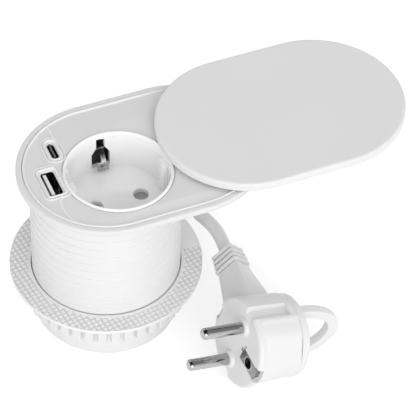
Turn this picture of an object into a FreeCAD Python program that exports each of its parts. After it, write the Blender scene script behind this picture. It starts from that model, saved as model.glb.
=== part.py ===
import FreeCAD, Part
import math
import os

# Built-in desk socket: a threaded tube hangs through a round hole in the desk top, a long oval
# bezel lies on the desk, and a lid slides along the bezel over an earthed socket and two USB ports.
# The origin is the centre of the foot, on the tube's axis, and +X points along the bezel's long side.
# All sizes are millimetres.

V = FreeCAD.Vector
UP = V(0, 0, 1)
DOWN = V(0, 0, -1)

# Bezel and inserts
flange_thick = 2.5
bezel_radius = 35.0
bezel_half_run = 15.0     # half of the bezel's straight side
bezel_round = 1.0
band_width = 2.4          # flat band round the edge, outside the inserts
insert_gap = 0.15
pocket_floor = 0.9        # wall left under the inserts
insert_thick = 1.2
bead_width = 0.6
bead_height = 0.7
seam_gap = 0.12

# Threaded tube, bottom cap, clamp washer and clamp nut
tube_radius = 29.9        # thread crest, for a desk hole of 60
register_depth = 0.4      # groove under the bezel that the tube's end sits in
register_gap = 0.05
tube_wall = 2.4
tube_foot = 10.5          # lower end of the tube
cap_radius = 29.2
cap_wall = 2.2
cap_floor = 2.2
cap_round = 1.2
spigot_wall = 1.5
spigot_length = 3.5
spigot_gap = 0.15
boss_radius = 3.1
boss_web = 0.8            # how far a boss runs into the tube's wall
boss_length = 9.0
boss_angles = (48.0, 112.0, 217.0)
fixing_shank = 1.25
fixing_head = 2.3
fixing_hole_gap = 0.06
washer_flange = 8.55      # from the washer's bore to its edge
washer_thick = 1.7
washer_top = 24.9
thread_gap = 0.35         # between the tube and the washer and nut
nut_foot = 11.7
nut_wall = 1.75
nut_rib_height = 2.1
nut_rib_count = 40
nut_rib_share = 0.76      # share of the pitch that a rib takes
nut_collar = 1.2          # plain rim above the ribs
washer_gap = 0.1

# Socket
socket_x = 3.7
socket_y = -4.0
cup_depth = 17.0          # from the rim's crest to the floor
cup_mouth = 20.5
cup_floor_radius = 19.6
cup_wall_radius = 21.4
cup_floor_thick = 2.2
cup_gap = 0.25
rim_radius = 22.35
rim_crest = 21.35
rim_height = 0.8          # crest above the inserts
pin_spacing = 19.0
pin_hole_radius = 3.0
guide_width = 5.2
guide_depth = 1.9
guide_drop = 2.6
window_width = 7.6
window_neck = 3.5
window_foot = 0.6         # wide part's lower edge above the cup floor
window_shoulder = 7.6     # its upper edge above the cup floor
window_slope = 3.0        # height over which it narrows
window_top = 14.9         # narrow part's upper edge above the cup floor

# Contact block, shutter and contacts
block_radius = 21.0
block_height = 17.8
shutter_thick = 1.6
shutter_gap = 0.15
shutter_half_length = 14.6
shutter_front = 10.8
shutter_back = 4.4
shutter_travel = 6.6
shutter_hole_radius = 3.1
spring_radius = 1.4
spring_wall = 0.4
spring_length = 12.6
contact_radius = 3.6
contact_bore = 2.45
contact_length = 14.6
contact_slit = 0.8
contact_collar = 4.6
contact_collar_height = 1.5
stem_radius = 2.0
cover_radius = 20.6
cover_thick = 1.4
terminal_width = 7.4
terminal_depth = 7.0
terminal_height = 8.0
terminal_screw_radius = 1.5
wire_hole_radius = 1.35
block_screw_x = 10.5
block_screw_y = 15.6
strap_width = 5.0
strap_thick = 0.8
strap_gap = 0.1
arm_gap = 0.2             # between the strap's arms and the cup's wall
clip_width = 4.4
clip_reach = 16.0         # distance of a clip's contact point from the socket's axis
clip_bend = 9.5           # height above the cup floor where a clip enters its window
clip_contact = 3.2
clip_tip = 0.8

# USB ports
usb_a_x = -22.5
usb_a_y = -0.6
usb_a_opening = (5.12, 12.5)
usb_c_x = -16.1
usb_c_y = 15.7
usb_c_opening = (2.56, 8.34)
shell_wall = 0.3
port_gap = 0.1
port_proud = 0.3          # shells stand above the inserts
bezel_lip_a = 1.3
bezel_lip_c = 1.15
bezel_lip_height = 0.5
usb_a_tongue = (1.84, 11.1)
usb_c_tongue = (0.7, 6.69)
tongue_recess = 1.0
shell_length = 14.3       # the ports' shells stand on the board that carries them
daughter_thick = 1.2
daughter_edge_gap = 0.5
daughter_right = -10.0     # the board's straight edges
daughter_front = -13.0

# Charger
board_top = 28.0
board_thick = 1.6
board_gap = 0.6
board_clearance = 12.1    # from the charger's board to the contact block's cover
post_radius = 2.6
post_inset = 4.3          # the posts' axes from the tube's bore
post_screw_shank = 0.85
post_screw_bite = 6.0
post_screw_head = 1.9
post_screw_head_height = 1.2
post_angles = (0.0, 125.0, 235.0)
transformer_size = (16.0, 11.0, 10.5)
transformer_place = (4.0, -17.0)
capacitor_radius = 4.0
capacitor_height = 11.0
capacitor_places = ((-14.5, -5.5), (-14.5, 5.5))

# Lid
lid_radius = 35.5
lid_half_run = 15.5
lid_travel = 58.8         # closed to fully open, and the photograph shows it open
lid_gap = 0.7             # lid above the bead
lid_height = 3.6
lid_skin = 1.5
lid_wall = 1.6
lid_round = 1.2
slider_inset = 0.1
slider_edge_gap = 0.2
key_y = 13.0
key_start = 35.0
key_length = 21.0
key_stem = 5.0
key_head = 9.0
key_head_thick = 0.8
key_gap = 0.2
key_side_gap = 0.3
key_screw_inset = 5.0
lip_thick = 0.8
lid_screw_x = 28.0
lid_screw_y = 26.0
lid_screw_shank = 0.9
lid_screw_head = 1.9
lid_screw_bite = 1.0

# Cord and its inlet
cord_radius = 2.75
cord_sides = 8
gland_angle = 84.0
gland_height = 5.25
gland_length = 20.0
gland_root = 4.6
gland_tip = 3.6
gland_shoulder = 5.0
tail_length = 10.5
clamp_width = 18.0
clamp_depth = 6.0
clamp_height = 7.5
clamp_ring = 18.0
clamp_screw_offset = 6.4
wire_radius = 1.1
wire_fan = 1.9
wire_lead = 6.0
wire_rise = 2.5

# Hank behind the object
lead_in_run = 10.3
lead_in_turns = 4
lead_in_fall = (5.25, 4.3, 3.5)
hank_run = 84.0
hank_radius = 17.0
hank_waist = 3.5
hank_pitch = 6.1
hank_turns = 4
tie_thick = 0.5
tie_width = 9.0
tie_gap = 0.2

# Plug, in its own frame: pins point to -X, the cord leaves to +Y
plug_x = 32.6
plug_y = -58.0
plug_yaw = 3.0
plug_pitch = 14.4
plug_roll = 5.0
plug_radius = 18.2
plug_rear_radius = 17.3
plug_length = 20.2
plug_face_round = 0.8
plug_back_radius = 16.9
plug_back_thick = 3.8
plug_back_round = 1.4
plug_pin_radius = 2.4
plug_pin_length = 19.0
plug_pin_root = 8.0
plug_pin_tip = 1.7        # rounding of the pins' ends
plug_pin_neck = 2.2       # the pins narrow where they are moulded in
plug_neck_clear = 0.3
plug_collar_radius = 4.1
plug_collar_height = 2.0
plug_groove_width = 5.6
plug_groove_depth = 2.2
plug_notch_width = 7.0
plug_notch_depth = 2.8
plug_contact_thick = 0.8
plug_contact_width = 4.6
plug_plate_half = 2.9
plug_plate_top = 5.6
plug_side_depth = 2.6
plug_neck_start = 11.0
plug_neck_end = 30.0
plug_neck_root = (14.0, 21.0)
plug_neck_tip = (10.0, 10.0)
plug_axis_x = 12.0        # the cord's axis behind the face, where the neck begins
plug_axis_slope = 0.15    # the neck leans back from the face
plug_flat_reach = 16.5    # flats for the fingers on both sides of the earth contacts
plug_flat_turn = 31.5
plug_flat_start = 2.6
relief_length = 16.0
relief_rib = 11.4
relief_rib_thick = 1.9
relief_rib_count = 4
relief_core = 4.2
ring_width = 4.0
ring_thick = 4.4
ring_side_thick = 5.0
ring_reach = 22.0
ring_half_height = 11.6
ring_socket_depth = 2.0

# Heights that follow from the sizes above
cover_bottom = board_top + board_clearance
block_bottom = cover_bottom + cover_thick
cup_bottom = block_bottom + block_height
cup_floor_top = cup_bottom + cup_floor_thick
rim_top = cup_floor_top + cup_depth
insert_top = rim_top - rim_height
insert_bottom = insert_top - insert_thick
seat_height = insert_bottom - pocket_floor    # underside of the bezel flange, which lies on the desk
band_top = seat_height + flange_thick
bead_top = insert_top + bead_height
pocket_radius = bezel_radius - band_width
insert_radius = pocket_radius - insert_gap
spring_height = cup_bottom - shutter_gap - spring_radius
strap_top = cover_bottom - strap_gap
strap_bottom = strap_top - strap_thick
washer_bottom = washer_top - washer_thick
nut_top = washer_bottom - washer_gap
nut_bore = tube_radius + thread_gap
nut_root = nut_bore + nut_wall
nut_rib_radius = nut_root + nut_rib_height
washer_radius = nut_bore + washer_flange
tube_bore = tube_radius - tube_wall
post_ring = tube_bore - post_inset
tube_top = seat_height + register_depth
boss_ring = tube_bore - boss_radius + boss_web
port_top = insert_top + port_proud
daughter_top = port_top - shell_length
lid_bottom = bead_top + lid_gap
lid_top = lid_bottom + lid_height
slider_bottom = lid_bottom + slider_inset
slider_top = lid_top - lid_skin
lid_x = bezel_half_run + lid_travel
socket_centre = V(socket_x, socket_y, 0)
usb_a_centre = V(usb_a_x, usb_a_y, 0)
usb_c_centre = V(usb_c_x, usb_c_y, 0)
earth_radius = cup_wall_radius + arm_gap


def cylinder(radius, low, high, centre=V(0, 0, 0)):
    return Part.makeCylinder(radius, high - low, V(centre.x, centre.y, low))


def tube(outer, inner, low, high, centre=V(0, 0, 0)):
    return cylinder(outer, low, high, centre).cut(cylinder(inner, low - 1, high + 1, centre))


def block(size_x, size_y, low, high, centre=V(0, 0, 0)):
    corner = V(centre.x - size_x / 2, centre.y - size_y / 2, low)
    return Part.makeBox(size_x, size_y, high - low, corner)


def polygon_prism(points, low, high):
    wire = Part.makePolygon([V(x, y, low) for x, y in points + points[:1]])
    return Part.Face(wire).extrude(V(0, 0, high - low))


def oval(centre_x, half_run, radius, low, high):
    """A long oval: two half circles joined by straight sides along X."""
    right = V(centre_x + half_run, 0, low)
    left = V(centre_x - half_run, 0, low)
    ends = (V(0, radius, 0), V(radius, 0, 0))
    wire = Part.Wire([
        Part.LineSegment(left - ends[0], right - ends[0]).toShape(),
        Part.Arc(right - ends[0], right + ends[1], right + ends[0]).toShape(),
        Part.LineSegment(right + ends[0], left + ends[0]).toShape(),
        Part.Arc(left + ends[0], left - ends[1], left - ends[0]).toShape(),
    ])
    return Part.Face(wire).extrude(V(0, 0, high - low))


def rounded_block(size_x, size_y, corner, low, high, centre=V(0, 0, 0)):
    solid = block(size_x, size_y, low, high, centre)
    upright = [edge for edge in solid.Edges if abs(edge.tangentAt(edge.FirstParameter).z) > 0.9]
    return solid.makeFillet(corner, upright)


def revolve(points, centre=V(0, 0, 0)):
    """Turns a profile of (radius, height) points about a vertical axis."""
    wire = Part.makePolygon([V(centre.x + r, centre.y, z) for r, z in points + points[:1]])
    return Part.Face(wire).revolve(centre, UP, 360)


def on_ring(radius, angle, height=0.0):
    turn = math.radians(angle)
    return V(radius * math.cos(turn), radius * math.sin(turn), height)


def rim_edges(solid, height, tolerance=0.01):
    """The level edges of a solid at one height."""
    return [e for e in solid.Edges
            if abs(e.BoundBox.ZMin - height) < tolerance and abs(e.BoundBox.ZMax - height) < tolerance]


def outer_rim(solid, height):
    """The edges at one height that lie on the solid's outline."""
    box = solid.BoundBox
    found = []
    for edge in rim_edges(solid, height):
        middle = edge.valueAt((edge.FirstParameter + edge.LastParameter) / 2)
        inner = solid.isInside(middle + V(0, 0, 0), 0.001, True)
        reach = max(abs(edge.BoundBox.YMin), abs(edge.BoundBox.YMax))
        if inner and abs(reach - box.YMax) < 0.01:
            found.append(edge)
    return found


def screw(top, direction, head_radius, head_height, shank_radius, length):
    """A countersunk screw: its flat head lies at top and its shank points along direction."""
    cone = Part.makeCone(head_radius, shank_radius, head_height, top, direction)
    shank = Part.makeCylinder(shank_radius, length, top, direction)
    return cone.fuse(shank).removeSplitter()


def fixing_points(height):
    return [on_ring(boss_ring, angle, height) for angle in boss_angles]


def seam_region(shift):
    """The area left of the seam between the two inserts, moved by shift along X."""
    rim_y = usb_c_y - 4.0
    start = V(-13.6 + shift, bezel_radius + 5, insert_bottom - 1)
    corner = V(-13.6 + shift, rim_y, insert_bottom - 1)
    inside = V(socket_x + shift, socket_y, insert_bottom - 1)
    lower = V(-21.0 + shift, -8.2, insert_bottom - 1)
    bend = V(-23.1 + shift, -14.2, insert_bottom - 1)
    foot = V(-20.9 + shift, -23.4, insert_bottom - 1)
    out = V(-16.0 + shift, -bezel_radius - 5, insert_bottom - 1)
    far_low = V(-bezel_radius - 10, -bezel_radius - 5, insert_bottom - 1)
    far_high = V(-bezel_radius - 10, bezel_radius + 5, insert_bottom - 1)
    edges = [
        Part.LineSegment(start, corner).toShape(),
        Part.LineSegment(corner, inside).toShape(),
        Part.LineSegment(inside, lower).toShape(),
        Part.Arc(lower, bend, foot).toShape(),
        Part.LineSegment(foot, out).toShape(),
        Part.LineSegment(out, far_low).toShape(),
        Part.LineSegment(far_low, far_high).toShape(),
        Part.LineSegment(far_high, start).toShape(),
    ]
    return Part.Face(Part.Wire(edges)).extrude(V(0, 0, insert_thick + bead_height + 3))


def insert_blank():
    """Both inserts as one plate, with the bead round the edge and the cup's hole."""
    plate = oval(bezel_half_run, bezel_half_run, insert_radius, insert_bottom, insert_top)
    bead = oval(bezel_half_run, bezel_half_run, insert_radius, insert_top, bead_top)
    bead = bead.cut(oval(bezel_half_run, bezel_half_run, insert_radius - bead_width,
                         insert_top - 1, bead_top + 1))
    bead = bead.makeChamfer(bead_width * 0.3, rim_edges(bead, bead_top))
    hole = cylinder(cup_wall_radius + cup_gap, insert_bottom - 1, bead_top + 1, socket_centre)
    return plate.fuse(bead).removeSplitter().cut(hole)


def port_blank(opening, margin, low, high, centre, corner):
    return rounded_block(opening[0] + 2 * margin, opening[1] + 2 * margin, corner, low, high, centre)


def bezel_frame():
    frame = oval(bezel_half_run, bezel_half_run, bezel_radius, seat_height, band_top)
    frame = frame.makeFillet(bezel_round, rim_edges(frame, band_top))
    frame = frame.cut(oval(bezel_half_run, bezel_half_run, pocket_radius, insert_bottom, band_top + 1))
    frame = frame.cut(cylinder(cup_wall_radius + cup_gap, seat_height - 1, band_top, socket_centre))
    frame = frame.cut(tube(tube_radius + register_gap, tube_bore - register_gap, seat_height, tube_top))
    margin = shell_wall + port_gap
    frame = frame.cut(block(usb_a_opening[0] + 2 * margin, usb_a_opening[1] + 2 * margin,
                            seat_height - 1, band_top, usb_a_centre))
    frame = frame.cut(block(usb_c_opening[0] + 2 * margin, usb_c_opening[1] + 2 * margin,
                            seat_height - 1, band_top, usb_c_centre))
    for point in fixing_points(insert_bottom):
        frame = frame.cut(screw(point, DOWN, fixing_head + fixing_hole_gap, pocket_floor,
                                fixing_shank + fixing_hole_gap, pocket_floor + 1))
    for point in key_screw_points():
        frame = frame.cut(screw(point, UP, fixing_head + fixing_hole_gap, pocket_floor,
                                fixing_shank + fixing_hole_gap, flange_thick + 1))
    return frame


def socket_panel():
    panel = insert_blank().cut(seam_region(seam_gap))
    for point in key_screw_points():
        panel = panel.cut(cylinder(fixing_shank + fixing_hole_gap, insert_bottom - 1, insert_top + 1, point))
    return panel


def usb_panel():
    panel = insert_blank().common(seam_region(0))
    lip_a = port_blank(usb_a_opening, bezel_lip_a + shell_wall, insert_top, insert_top + bezel_lip_height,
                       usb_a_centre, 1.0)
    lip_c = port_blank(usb_c_opening, bezel_lip_c + shell_wall, insert_top, insert_top + bezel_lip_height,
                       usb_c_centre, 2.0)
    lip_a = lip_a.cut(cylinder(rim_radius + cup_gap, insert_top, bead_top + 2, socket_centre))
    panel = panel.fuse([lip_a, lip_c]).removeSplitter()
    margin = shell_wall + port_gap
    panel = panel.cut(port_blank(usb_a_opening, margin, insert_bottom - 1, bead_top + 2, usb_a_centre, 0.4))
    return panel.cut(port_blank(usb_c_opening, margin, insert_bottom - 1, bead_top + 2, usb_c_centre, 1.4))


def frame_screws():
    return [screw(point, DOWN, fixing_head, pocket_floor, fixing_shank, boss_length - 1)
            for point in fixing_points(insert_bottom)]


def cup_windows(length):
    """The two cut-outs for the earth clips, as wide feet with narrow necks."""
    low = cup_floor_top + window_foot
    shoulder = cup_floor_top + window_shoulder
    top = cup_floor_top + window_top
    half = window_width / 2
    neck = window_neck / 2
    throat = shoulder + window_slope
    outline = [(-half, low), (half, low), (half, shoulder), (neck, throat), (neck, top),
               (-neck, top), (-neck, throat), (-half, shoulder)]
    wire = Part.makePolygon([V(socket_x + x, socket_y - length, z) for x, z in outline + outline[:1]])
    return Part.Face(wire).extrude(V(0, 2 * length, 0))


def socket_cup():
    profile = [(0, cup_bottom), (cup_wall_radius, cup_bottom), (cup_wall_radius, insert_top),
               (rim_radius, insert_top), (rim_radius, insert_top + rim_height * 0.45),
               (rim_crest + 0.35, rim_top), (rim_crest - 0.25, rim_top), (cup_mouth, rim_top - 0.7),
               (cup_floor_radius, rim_top - 4.5), (cup_floor_radius, cup_floor_top + 1.0),
               (cup_floor_radius - 1.0, cup_floor_top), (0, cup_floor_top)]
    cup = revolve(profile, socket_centre)
    guide_top = rim_top - guide_drop
    for side in (-1, 1):
        inner = cup_floor_radius - guide_depth
        guide = block(guide_depth + 1.4, guide_width, cup_floor_top - 0.5, guide_top,
                      V(socket_x + side * (inner + (guide_depth + 1.4) / 2), socket_y, 0))
        cup = cup.fuse(guide.common(cylinder(cup_wall_radius, cup_floor_top - 1, rim_top, socket_centre)))
    cup = cup.cut(cup_windows(cup_wall_radius + 5))
    for side in (-1, 1):
        hole = V(socket_x + side * pin_spacing / 2, socket_y, 0)
        cup = cup.cut(cylinder(pin_hole_radius, cup_bottom - 1, cup_floor_top + 1, hole))
    for point in block_screw_points(0):
        cup = cup.cut(cylinder(fixing_shank + fixing_hole_gap, cup_bottom - 1, cup_floor_top - 0.6, point))
    return cup.removeSplitter()


def block_screw_points(height):
    return [V(socket_x + sx * block_screw_x, socket_y + sy * block_screw_y, height)
            for sx in (-1, 1) for sy in (-1, 1)]


def block_screws():
    length = cover_thick + block_height + cup_floor_thick - 1.0
    return [screw(point, UP, fixing_head, 1.0, fixing_shank, length)
            for point in block_screw_points(cover_bottom)]


def contact_places(height=0.0):
    return [V(socket_x + side * pin_spacing / 2, socket_y, height) for side in (-1, 1)]


def contact_block():
    """The insulating body under the cup, with the shutter's pocket in its top."""
    body = cylinder(block_radius, block_bottom, cup_bottom, socket_centre)
    pocket_bottom = cup_bottom - shutter_thick - 2 * shutter_gap
    front = -shutter_front - shutter_gap
    back = shutter_back + shutter_travel + shutter_gap
    side = shutter_half_length + shutter_gap
    pocket = Part.makeBox(2 * side, back - front, shutter_thick + 2 * shutter_gap + 1,
                          V(socket_x - side, socket_y + front, pocket_bottom))
    channel_length = shutter_back + spring_length + shutter_gap
    channel_width = 2 * (spring_radius + shutter_gap)
    channel = Part.makeBox(channel_width, channel_length, cup_bottom + 1 - spring_height,
                           V(socket_x - channel_width / 2, socket_y, spring_height))
    round_channel = Part.makeCylinder(channel_width / 2, channel_length - shutter_back,
                                      V(socket_x, socket_y + shutter_back, spring_height), V(0, 1, 0))
    body = body.cut([pocket, channel, round_channel])
    for place in contact_places():
        body = body.cut(cylinder(contact_radius + 0.1, block_bottom - 1, cup_bottom, place))
        body = body.cut(cylinder(contact_collar + 0.1, block_bottom - 1,
                                 block_bottom + contact_collar_height + 0.1, place))
    for point in block_screw_points(0):
        body = body.cut(cylinder(fixing_shank + fixing_hole_gap, block_bottom - 1, cup_bottom + 1, point))
    return body


def block_cover():
    plate = cylinder(cover_radius, cover_bottom, block_bottom, socket_centre)
    for place in contact_places():
        plate = plate.cut(cylinder(stem_radius + 0.1, cover_bottom - 1, block_bottom + 1, place))
    for point in block_screw_points(cover_bottom):
        plate = plate.cut(screw(point, UP, fixing_head + fixing_hole_gap, 1.0,
                                fixing_shank + fixing_hole_gap, cover_thick + 1))
    return plate


def terminal(place, top):
    """A brass terminal with its wire hole from below and its screw hole from the front."""
    box = block(terminal_width, terminal_depth, top - terminal_height, top, place)
    box = box.cut(cylinder(wire_hole_radius, top - terminal_height - 1, top - 1.5, place))
    front = V(place.x, place.y - terminal_depth, top - terminal_height / 2)
    depth = terminal_depth - wire_hole_radius
    return box.cut(Part.makeCylinder(terminal_screw_radius, depth, front, V(0, 1, 0)))


def pin_contacts():
    contacts = []
    for place in contact_places():
        low = block_bottom
        sleeve = tube(contact_radius, contact_bore, low + contact_collar_height, low + contact_length, place)
        base = cylinder(contact_collar, low, low + contact_collar_height, place)
        stem = cylinder(stem_radius, cover_bottom - strap_thick, low, place)
        slit = block(2 * contact_radius + 2, contact_slit, low + contact_length / 3,
                     low + contact_length + 1, place)
        contact = base.fuse([sleeve.cut(slit), stem, terminal(place, cover_bottom - strap_thick)])
        contacts.append(contact.removeSplitter())
    return contacts


def strip(points, thick, width, centre_x):
    """A bent metal strip: a line of (y, z) points given a thickness to its left and a width along X."""
    offset = []
    for index, (y, z) in enumerate(points):
        before = points[max(index - 1, 0)]
        after = points[min(index + 1, len(points) - 1)]
        first = V(0, y - before[0], z - before[1])
        second = V(0, after[0] - y, after[1] - z)
        first = first if first.Length > 0 else second
        second = second if second.Length > 0 else first
        first.normalize()
        second.normalize()
        bisector = (first + second).normalize()
        normal = V(0, -bisector.z, bisector.y)
        spread = thick / max(first.dot(bisector), 0.3)
        offset.append((y + normal.y * spread, z + normal.z * spread))
    outline = points + offset[::-1]
    wire = Part.makePolygon([V(centre_x - width / 2, y, z) for y, z in outline + outline[:1]])
    return Part.Face(wire).extrude(V(width, 0, 0))


def earth_bracket():
    """One bent strip: it crosses under the block, rises outside the cup and dips in at both windows."""
    arm = earth_radius
    crest = cup_floor_top + clip_bend
    right = [(arm + strap_thick, strap_bottom), (arm + strap_thick, crest)]
    contact = cup_floor_top + clip_contact
    tip = cup_floor_top + clip_tip
    base = block(strap_width, 2 * (arm + strap_thick), strap_bottom, strap_top, socket_centre)
    bracket = base.fuse(terminal(V(socket_x, socket_y, 0), strap_bottom))
    for side in (-1, 1):
        wall = Part.makeBox(strap_width, strap_thick, crest - strap_bottom,
                            V(socket_x - strap_width / 2, min(side * arm, side * right[0][0]), strap_bottom))
        spring = [(side * arm, crest), (side * (arm - 2.4), crest - 1.4), (side * clip_reach, contact),
                  (side * (clip_reach + 0.5), tip)]
        spring = spring if side > 0 else spring[::-1]
        leaf = strip([(y, z) for y, z in spring], strap_thick, clip_width, socket_x)
        cap = Part.makeBox(clip_width, 2 * strap_thick, strap_thick,
                           V(socket_x - clip_width / 2, side * arm - strap_thick, crest - strap_thick))
        part = wall.fuse([leaf, cap])
        part.translate(V(0, socket_y, 0))
        bracket = bracket.fuse(part)
    return bracket.removeSplitter()


def terminal_screws():
    screws = []
    places = [(place, cover_bottom - strap_thick) for place in contact_places()]
    places.append((V(socket_x, socket_y, 0), strap_bottom))
    for place, top in places:
        front = V(place.x, place.y - terminal_depth / 2 - 1.0, top - terminal_height / 2)
        length = terminal_depth / 2 + 1.0 - wire_hole_radius
        screws.append(Part.makeCylinder(terminal_screw_radius - fixing_hole_gap, length, front, V(0, 1, 0)))
    return screws


def shutter():
    """The sprung plate that stops the pin holes; its own holes line up once the pins push it aside."""
    top = cup_bottom - shutter_gap
    plate = Part.makeBox(2 * shutter_half_length, shutter_front + shutter_back, shutter_thick,
                         V(socket_x - shutter_half_length, socket_y - shutter_front, top - shutter_thick))
    for place in contact_places():
        hole = V(place.x, place.y - shutter_travel, 0)
        plate = plate.cut(cylinder(shutter_hole_radius, top - shutter_thick - 1, top + 1, hole))
    return plate


def shutter_spring():
    start = V(socket_x, socket_y + shutter_back, spring_height)
    outer = Part.makeCylinder(spring_radius, spring_length, start, V(0, 1, 0))
    inner = Part.makeCylinder(spring_radius - spring_wall, spring_length + 2, start - V(0, 1, 0), V(0, 1, 0))
    return outer.cut(inner)


def port_shell(opening, centre, corner):
    outer = port_blank(opening, shell_wall, daughter_top, port_top, centre, corner + shell_wall)
    inner = port_blank(opening, 0, daughter_top + 1.0, port_top + 1, centre, corner)
    return outer.cut(inner)


def usb_a_shell():
    return port_shell(usb_a_opening, usb_a_centre, 0.25)


def usb_c_shell():
    return port_shell(usb_c_opening, usb_c_centre, 1.15)


def port_tongue(opening, tongue, centre, shift):
    floor = daughter_top + 1.0
    base = block(opening[0] - 0.3, opening[1] - 0.6, floor, floor + 2.2, centre)
    blade = block(tongue[0], tongue[1], floor, port_top - tongue_recess, centre + V(shift, 0, 0))
    base = base.common(port_blank(opening, -0.1, floor - 1, floor + 5, centre, 0.9))
    return base.fuse(blade).removeSplitter()


def usb_a_tongue_piece():
    shift = -(usb_a_opening[0] - usb_a_tongue[0]) / 2 + 0.75
    return port_tongue(usb_a_opening, usb_a_tongue, usb_a_centre, shift)


def usb_c_tongue_piece():
    return port_tongue(usb_c_opening, usb_c_tongue, usb_c_centre, 0.0)


def usb_board():
    """A crescent board beside the cup that carries both ports."""
    low = daughter_top - daughter_thick
    disc = cylinder(tube_bore - daughter_edge_gap, low, daughter_top)
    disc = disc.cut(cylinder(cup_wall_radius + daughter_edge_gap, low - 1, daughter_top + 1, socket_centre))
    right = Part.makeBox(100, 200, 10, V(daughter_right, -100, low - 1))
    front = Part.makeBox(200, 100, 10, V(-100, daughter_front - 100, low - 1))
    return disc.cut([right, front])


def housing_tube():
    """The hanging tube: the thread's crests are its outer face, and screw bosses stand at both ends."""
    body = tube(tube_radius, tube_bore, tube_foot, tube_top)
    ledge = tube(tube_bore + 0.1, tube_bore - 1.4, board_top - board_thick - 2.0, board_top - board_thick)
    parts = [ledge]
    for angle in boss_angles:
        centre = on_ring(boss_ring, angle)
        parts.append(cylinder(boss_radius, seat_height - boss_length, seat_height, centre))
        parts.append(cylinder(boss_radius, tube_foot, tube_foot + boss_length, centre))
    shelf_low = daughter_top - daughter_thick - 2.0
    shelf = tube(tube_bore + 0.1, tube_bore - 1.0, shelf_low, daughter_top - daughter_thick)
    shelf = shelf.common(block(40, 40, shelf_low - 1, daughter_top, V(-33, 6, 0)))
    body = body.fuse(parts + [shelf]).removeSplitter()
    for angle in boss_angles:
        centre = on_ring(boss_ring, angle)
        body = body.cut(cylinder(fixing_shank + fixing_hole_gap, seat_height - boss_length + 0.5,
                                 seat_height + 1, centre))
        body = body.cut(cylinder(fixing_shank + fixing_hole_gap, tube_foot - 1,
                                 tube_foot + boss_length - 0.5, centre))
    return body


def along_gland(distance, sideways=0.0, height=gland_height):
    turn = math.radians(gland_angle)
    ahead = V(math.cos(turn), math.sin(turn), 0)
    across = V(math.sin(turn), -math.cos(turn), 0)
    return ahead * distance + across * sideways + V(0, 0, height)


def gland_direction():
    return (along_gland(1.0) - along_gland(0.0)).normalize()


def bottom_cap():
    cup = cylinder(cap_radius, 0, tube_foot)
    cup = cup.makeFillet(cap_round, rim_edges(cup, 0))
    cup = cup.cut(cylinder(cap_radius - cap_wall, cap_floor, tube_foot + 1))
    spigot_outer = tube_bore - spigot_gap
    spigot = tube(spigot_outer, spigot_outer - spigot_wall, tube_foot - 2.0, tube_foot + spigot_length)
    skirt = tube(cap_radius - cap_wall + 0.1, spigot_outer - spigot_wall, tube_foot - 2.0, tube_foot)
    for angle in boss_angles:
        spigot = spigot.cut(cylinder(boss_radius + 0.3, tube_foot, tube_foot + spigot_length + 1,
                                     on_ring(boss_ring, angle)))
    sleeves = [cylinder(boss_radius, cap_floor - 1, tube_foot, on_ring(boss_ring, a)) for a in boss_angles]
    posts = [cylinder(post_radius, cap_floor - 1, board_top - board_thick, on_ring(post_ring, a))
             for a in post_angles]
    cup = cup.fuse([spigot, skirt] + sleeves + posts).removeSplitter()
    for angle in boss_angles:
        centre = on_ring(boss_ring, angle)
        cup = cup.cut(cylinder(fixing_shank + fixing_hole_gap, -1, tube_foot + 1, centre))
        cup = cup.cut(cylinder(fixing_head + 0.2, -1, 3.0, centre))
    for angle in post_angles:
        cup = cup.cut(cylinder(0.9, board_top - board_thick - 7, board_top, on_ring(post_ring, angle)))
    passage = Part.makeCylinder(gland_root, 12, along_gland(cap_radius - cap_wall - 6), gland_direction())
    return cup.cut(passage)


def cap_screws():
    length = tube_foot + boss_length - 1.0 - 3.0
    return [screw(on_ring(boss_ring, a, 3.0 - 1.6), UP, fixing_head, 1.6, fixing_shank, length)
            for a in boss_angles]


def charger_board():
    low = board_top - board_thick
    board = cylinder(tube_bore - board_gap, low, board_top)
    slot = rounded_block(pin_spacing + 2 * wire_hole_radius + 1.6, 4.4, 2.0, low - 1, board_top + 1,
                         socket_centre)
    board = board.cut(slot)
    for angle in post_angles:
        board = board.cut(cylinder(1.0, low - 1, board_top + 1, on_ring(post_ring, angle)))
    return board


def board_screws():
    screws = []
    for angle in post_angles:
        point = on_ring(post_ring, angle)
        shank = cylinder(post_screw_shank, board_top - post_screw_bite, board_top, point)
        head = cylinder(post_screw_head, board_top, board_top + post_screw_head_height, point)
        screws.append(shank.fuse(head).removeSplitter())
    return screws


def charger_transformer():
    size_x, size_y, height = transformer_size
    low = board_top - board_thick - height
    place = V(transformer_place[0], transformer_place[1], 0)
    core = block(size_x, size_y * 0.62, low, low + height, place)
    coil = rounded_block(size_x * 0.72, size_y, 1.5, low + 1.2, low + height - 1.2, place)
    return core.fuse(coil).removeSplitter()


def charger_capacitors():
    low = board_top - board_thick - capacitor_height
    cans = []
    for x, y in capacitor_places:
        can = cylinder(capacitor_radius, low, low + capacitor_height, V(x, y, 0))
        cans.append(can.makeChamfer(0.5, rim_edges(can, low)))
    return cans


def clamp_washer():
    ring = tube(washer_radius, nut_bore, washer_bottom, washer_top)
    rims = [e for e in rim_edges(ring, washer_top) + rim_edges(ring, washer_bottom)
            if e.BoundBox.XLength > 2 * washer_radius - 1]
    return ring.makeChamfer(0.3, rims)


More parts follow.
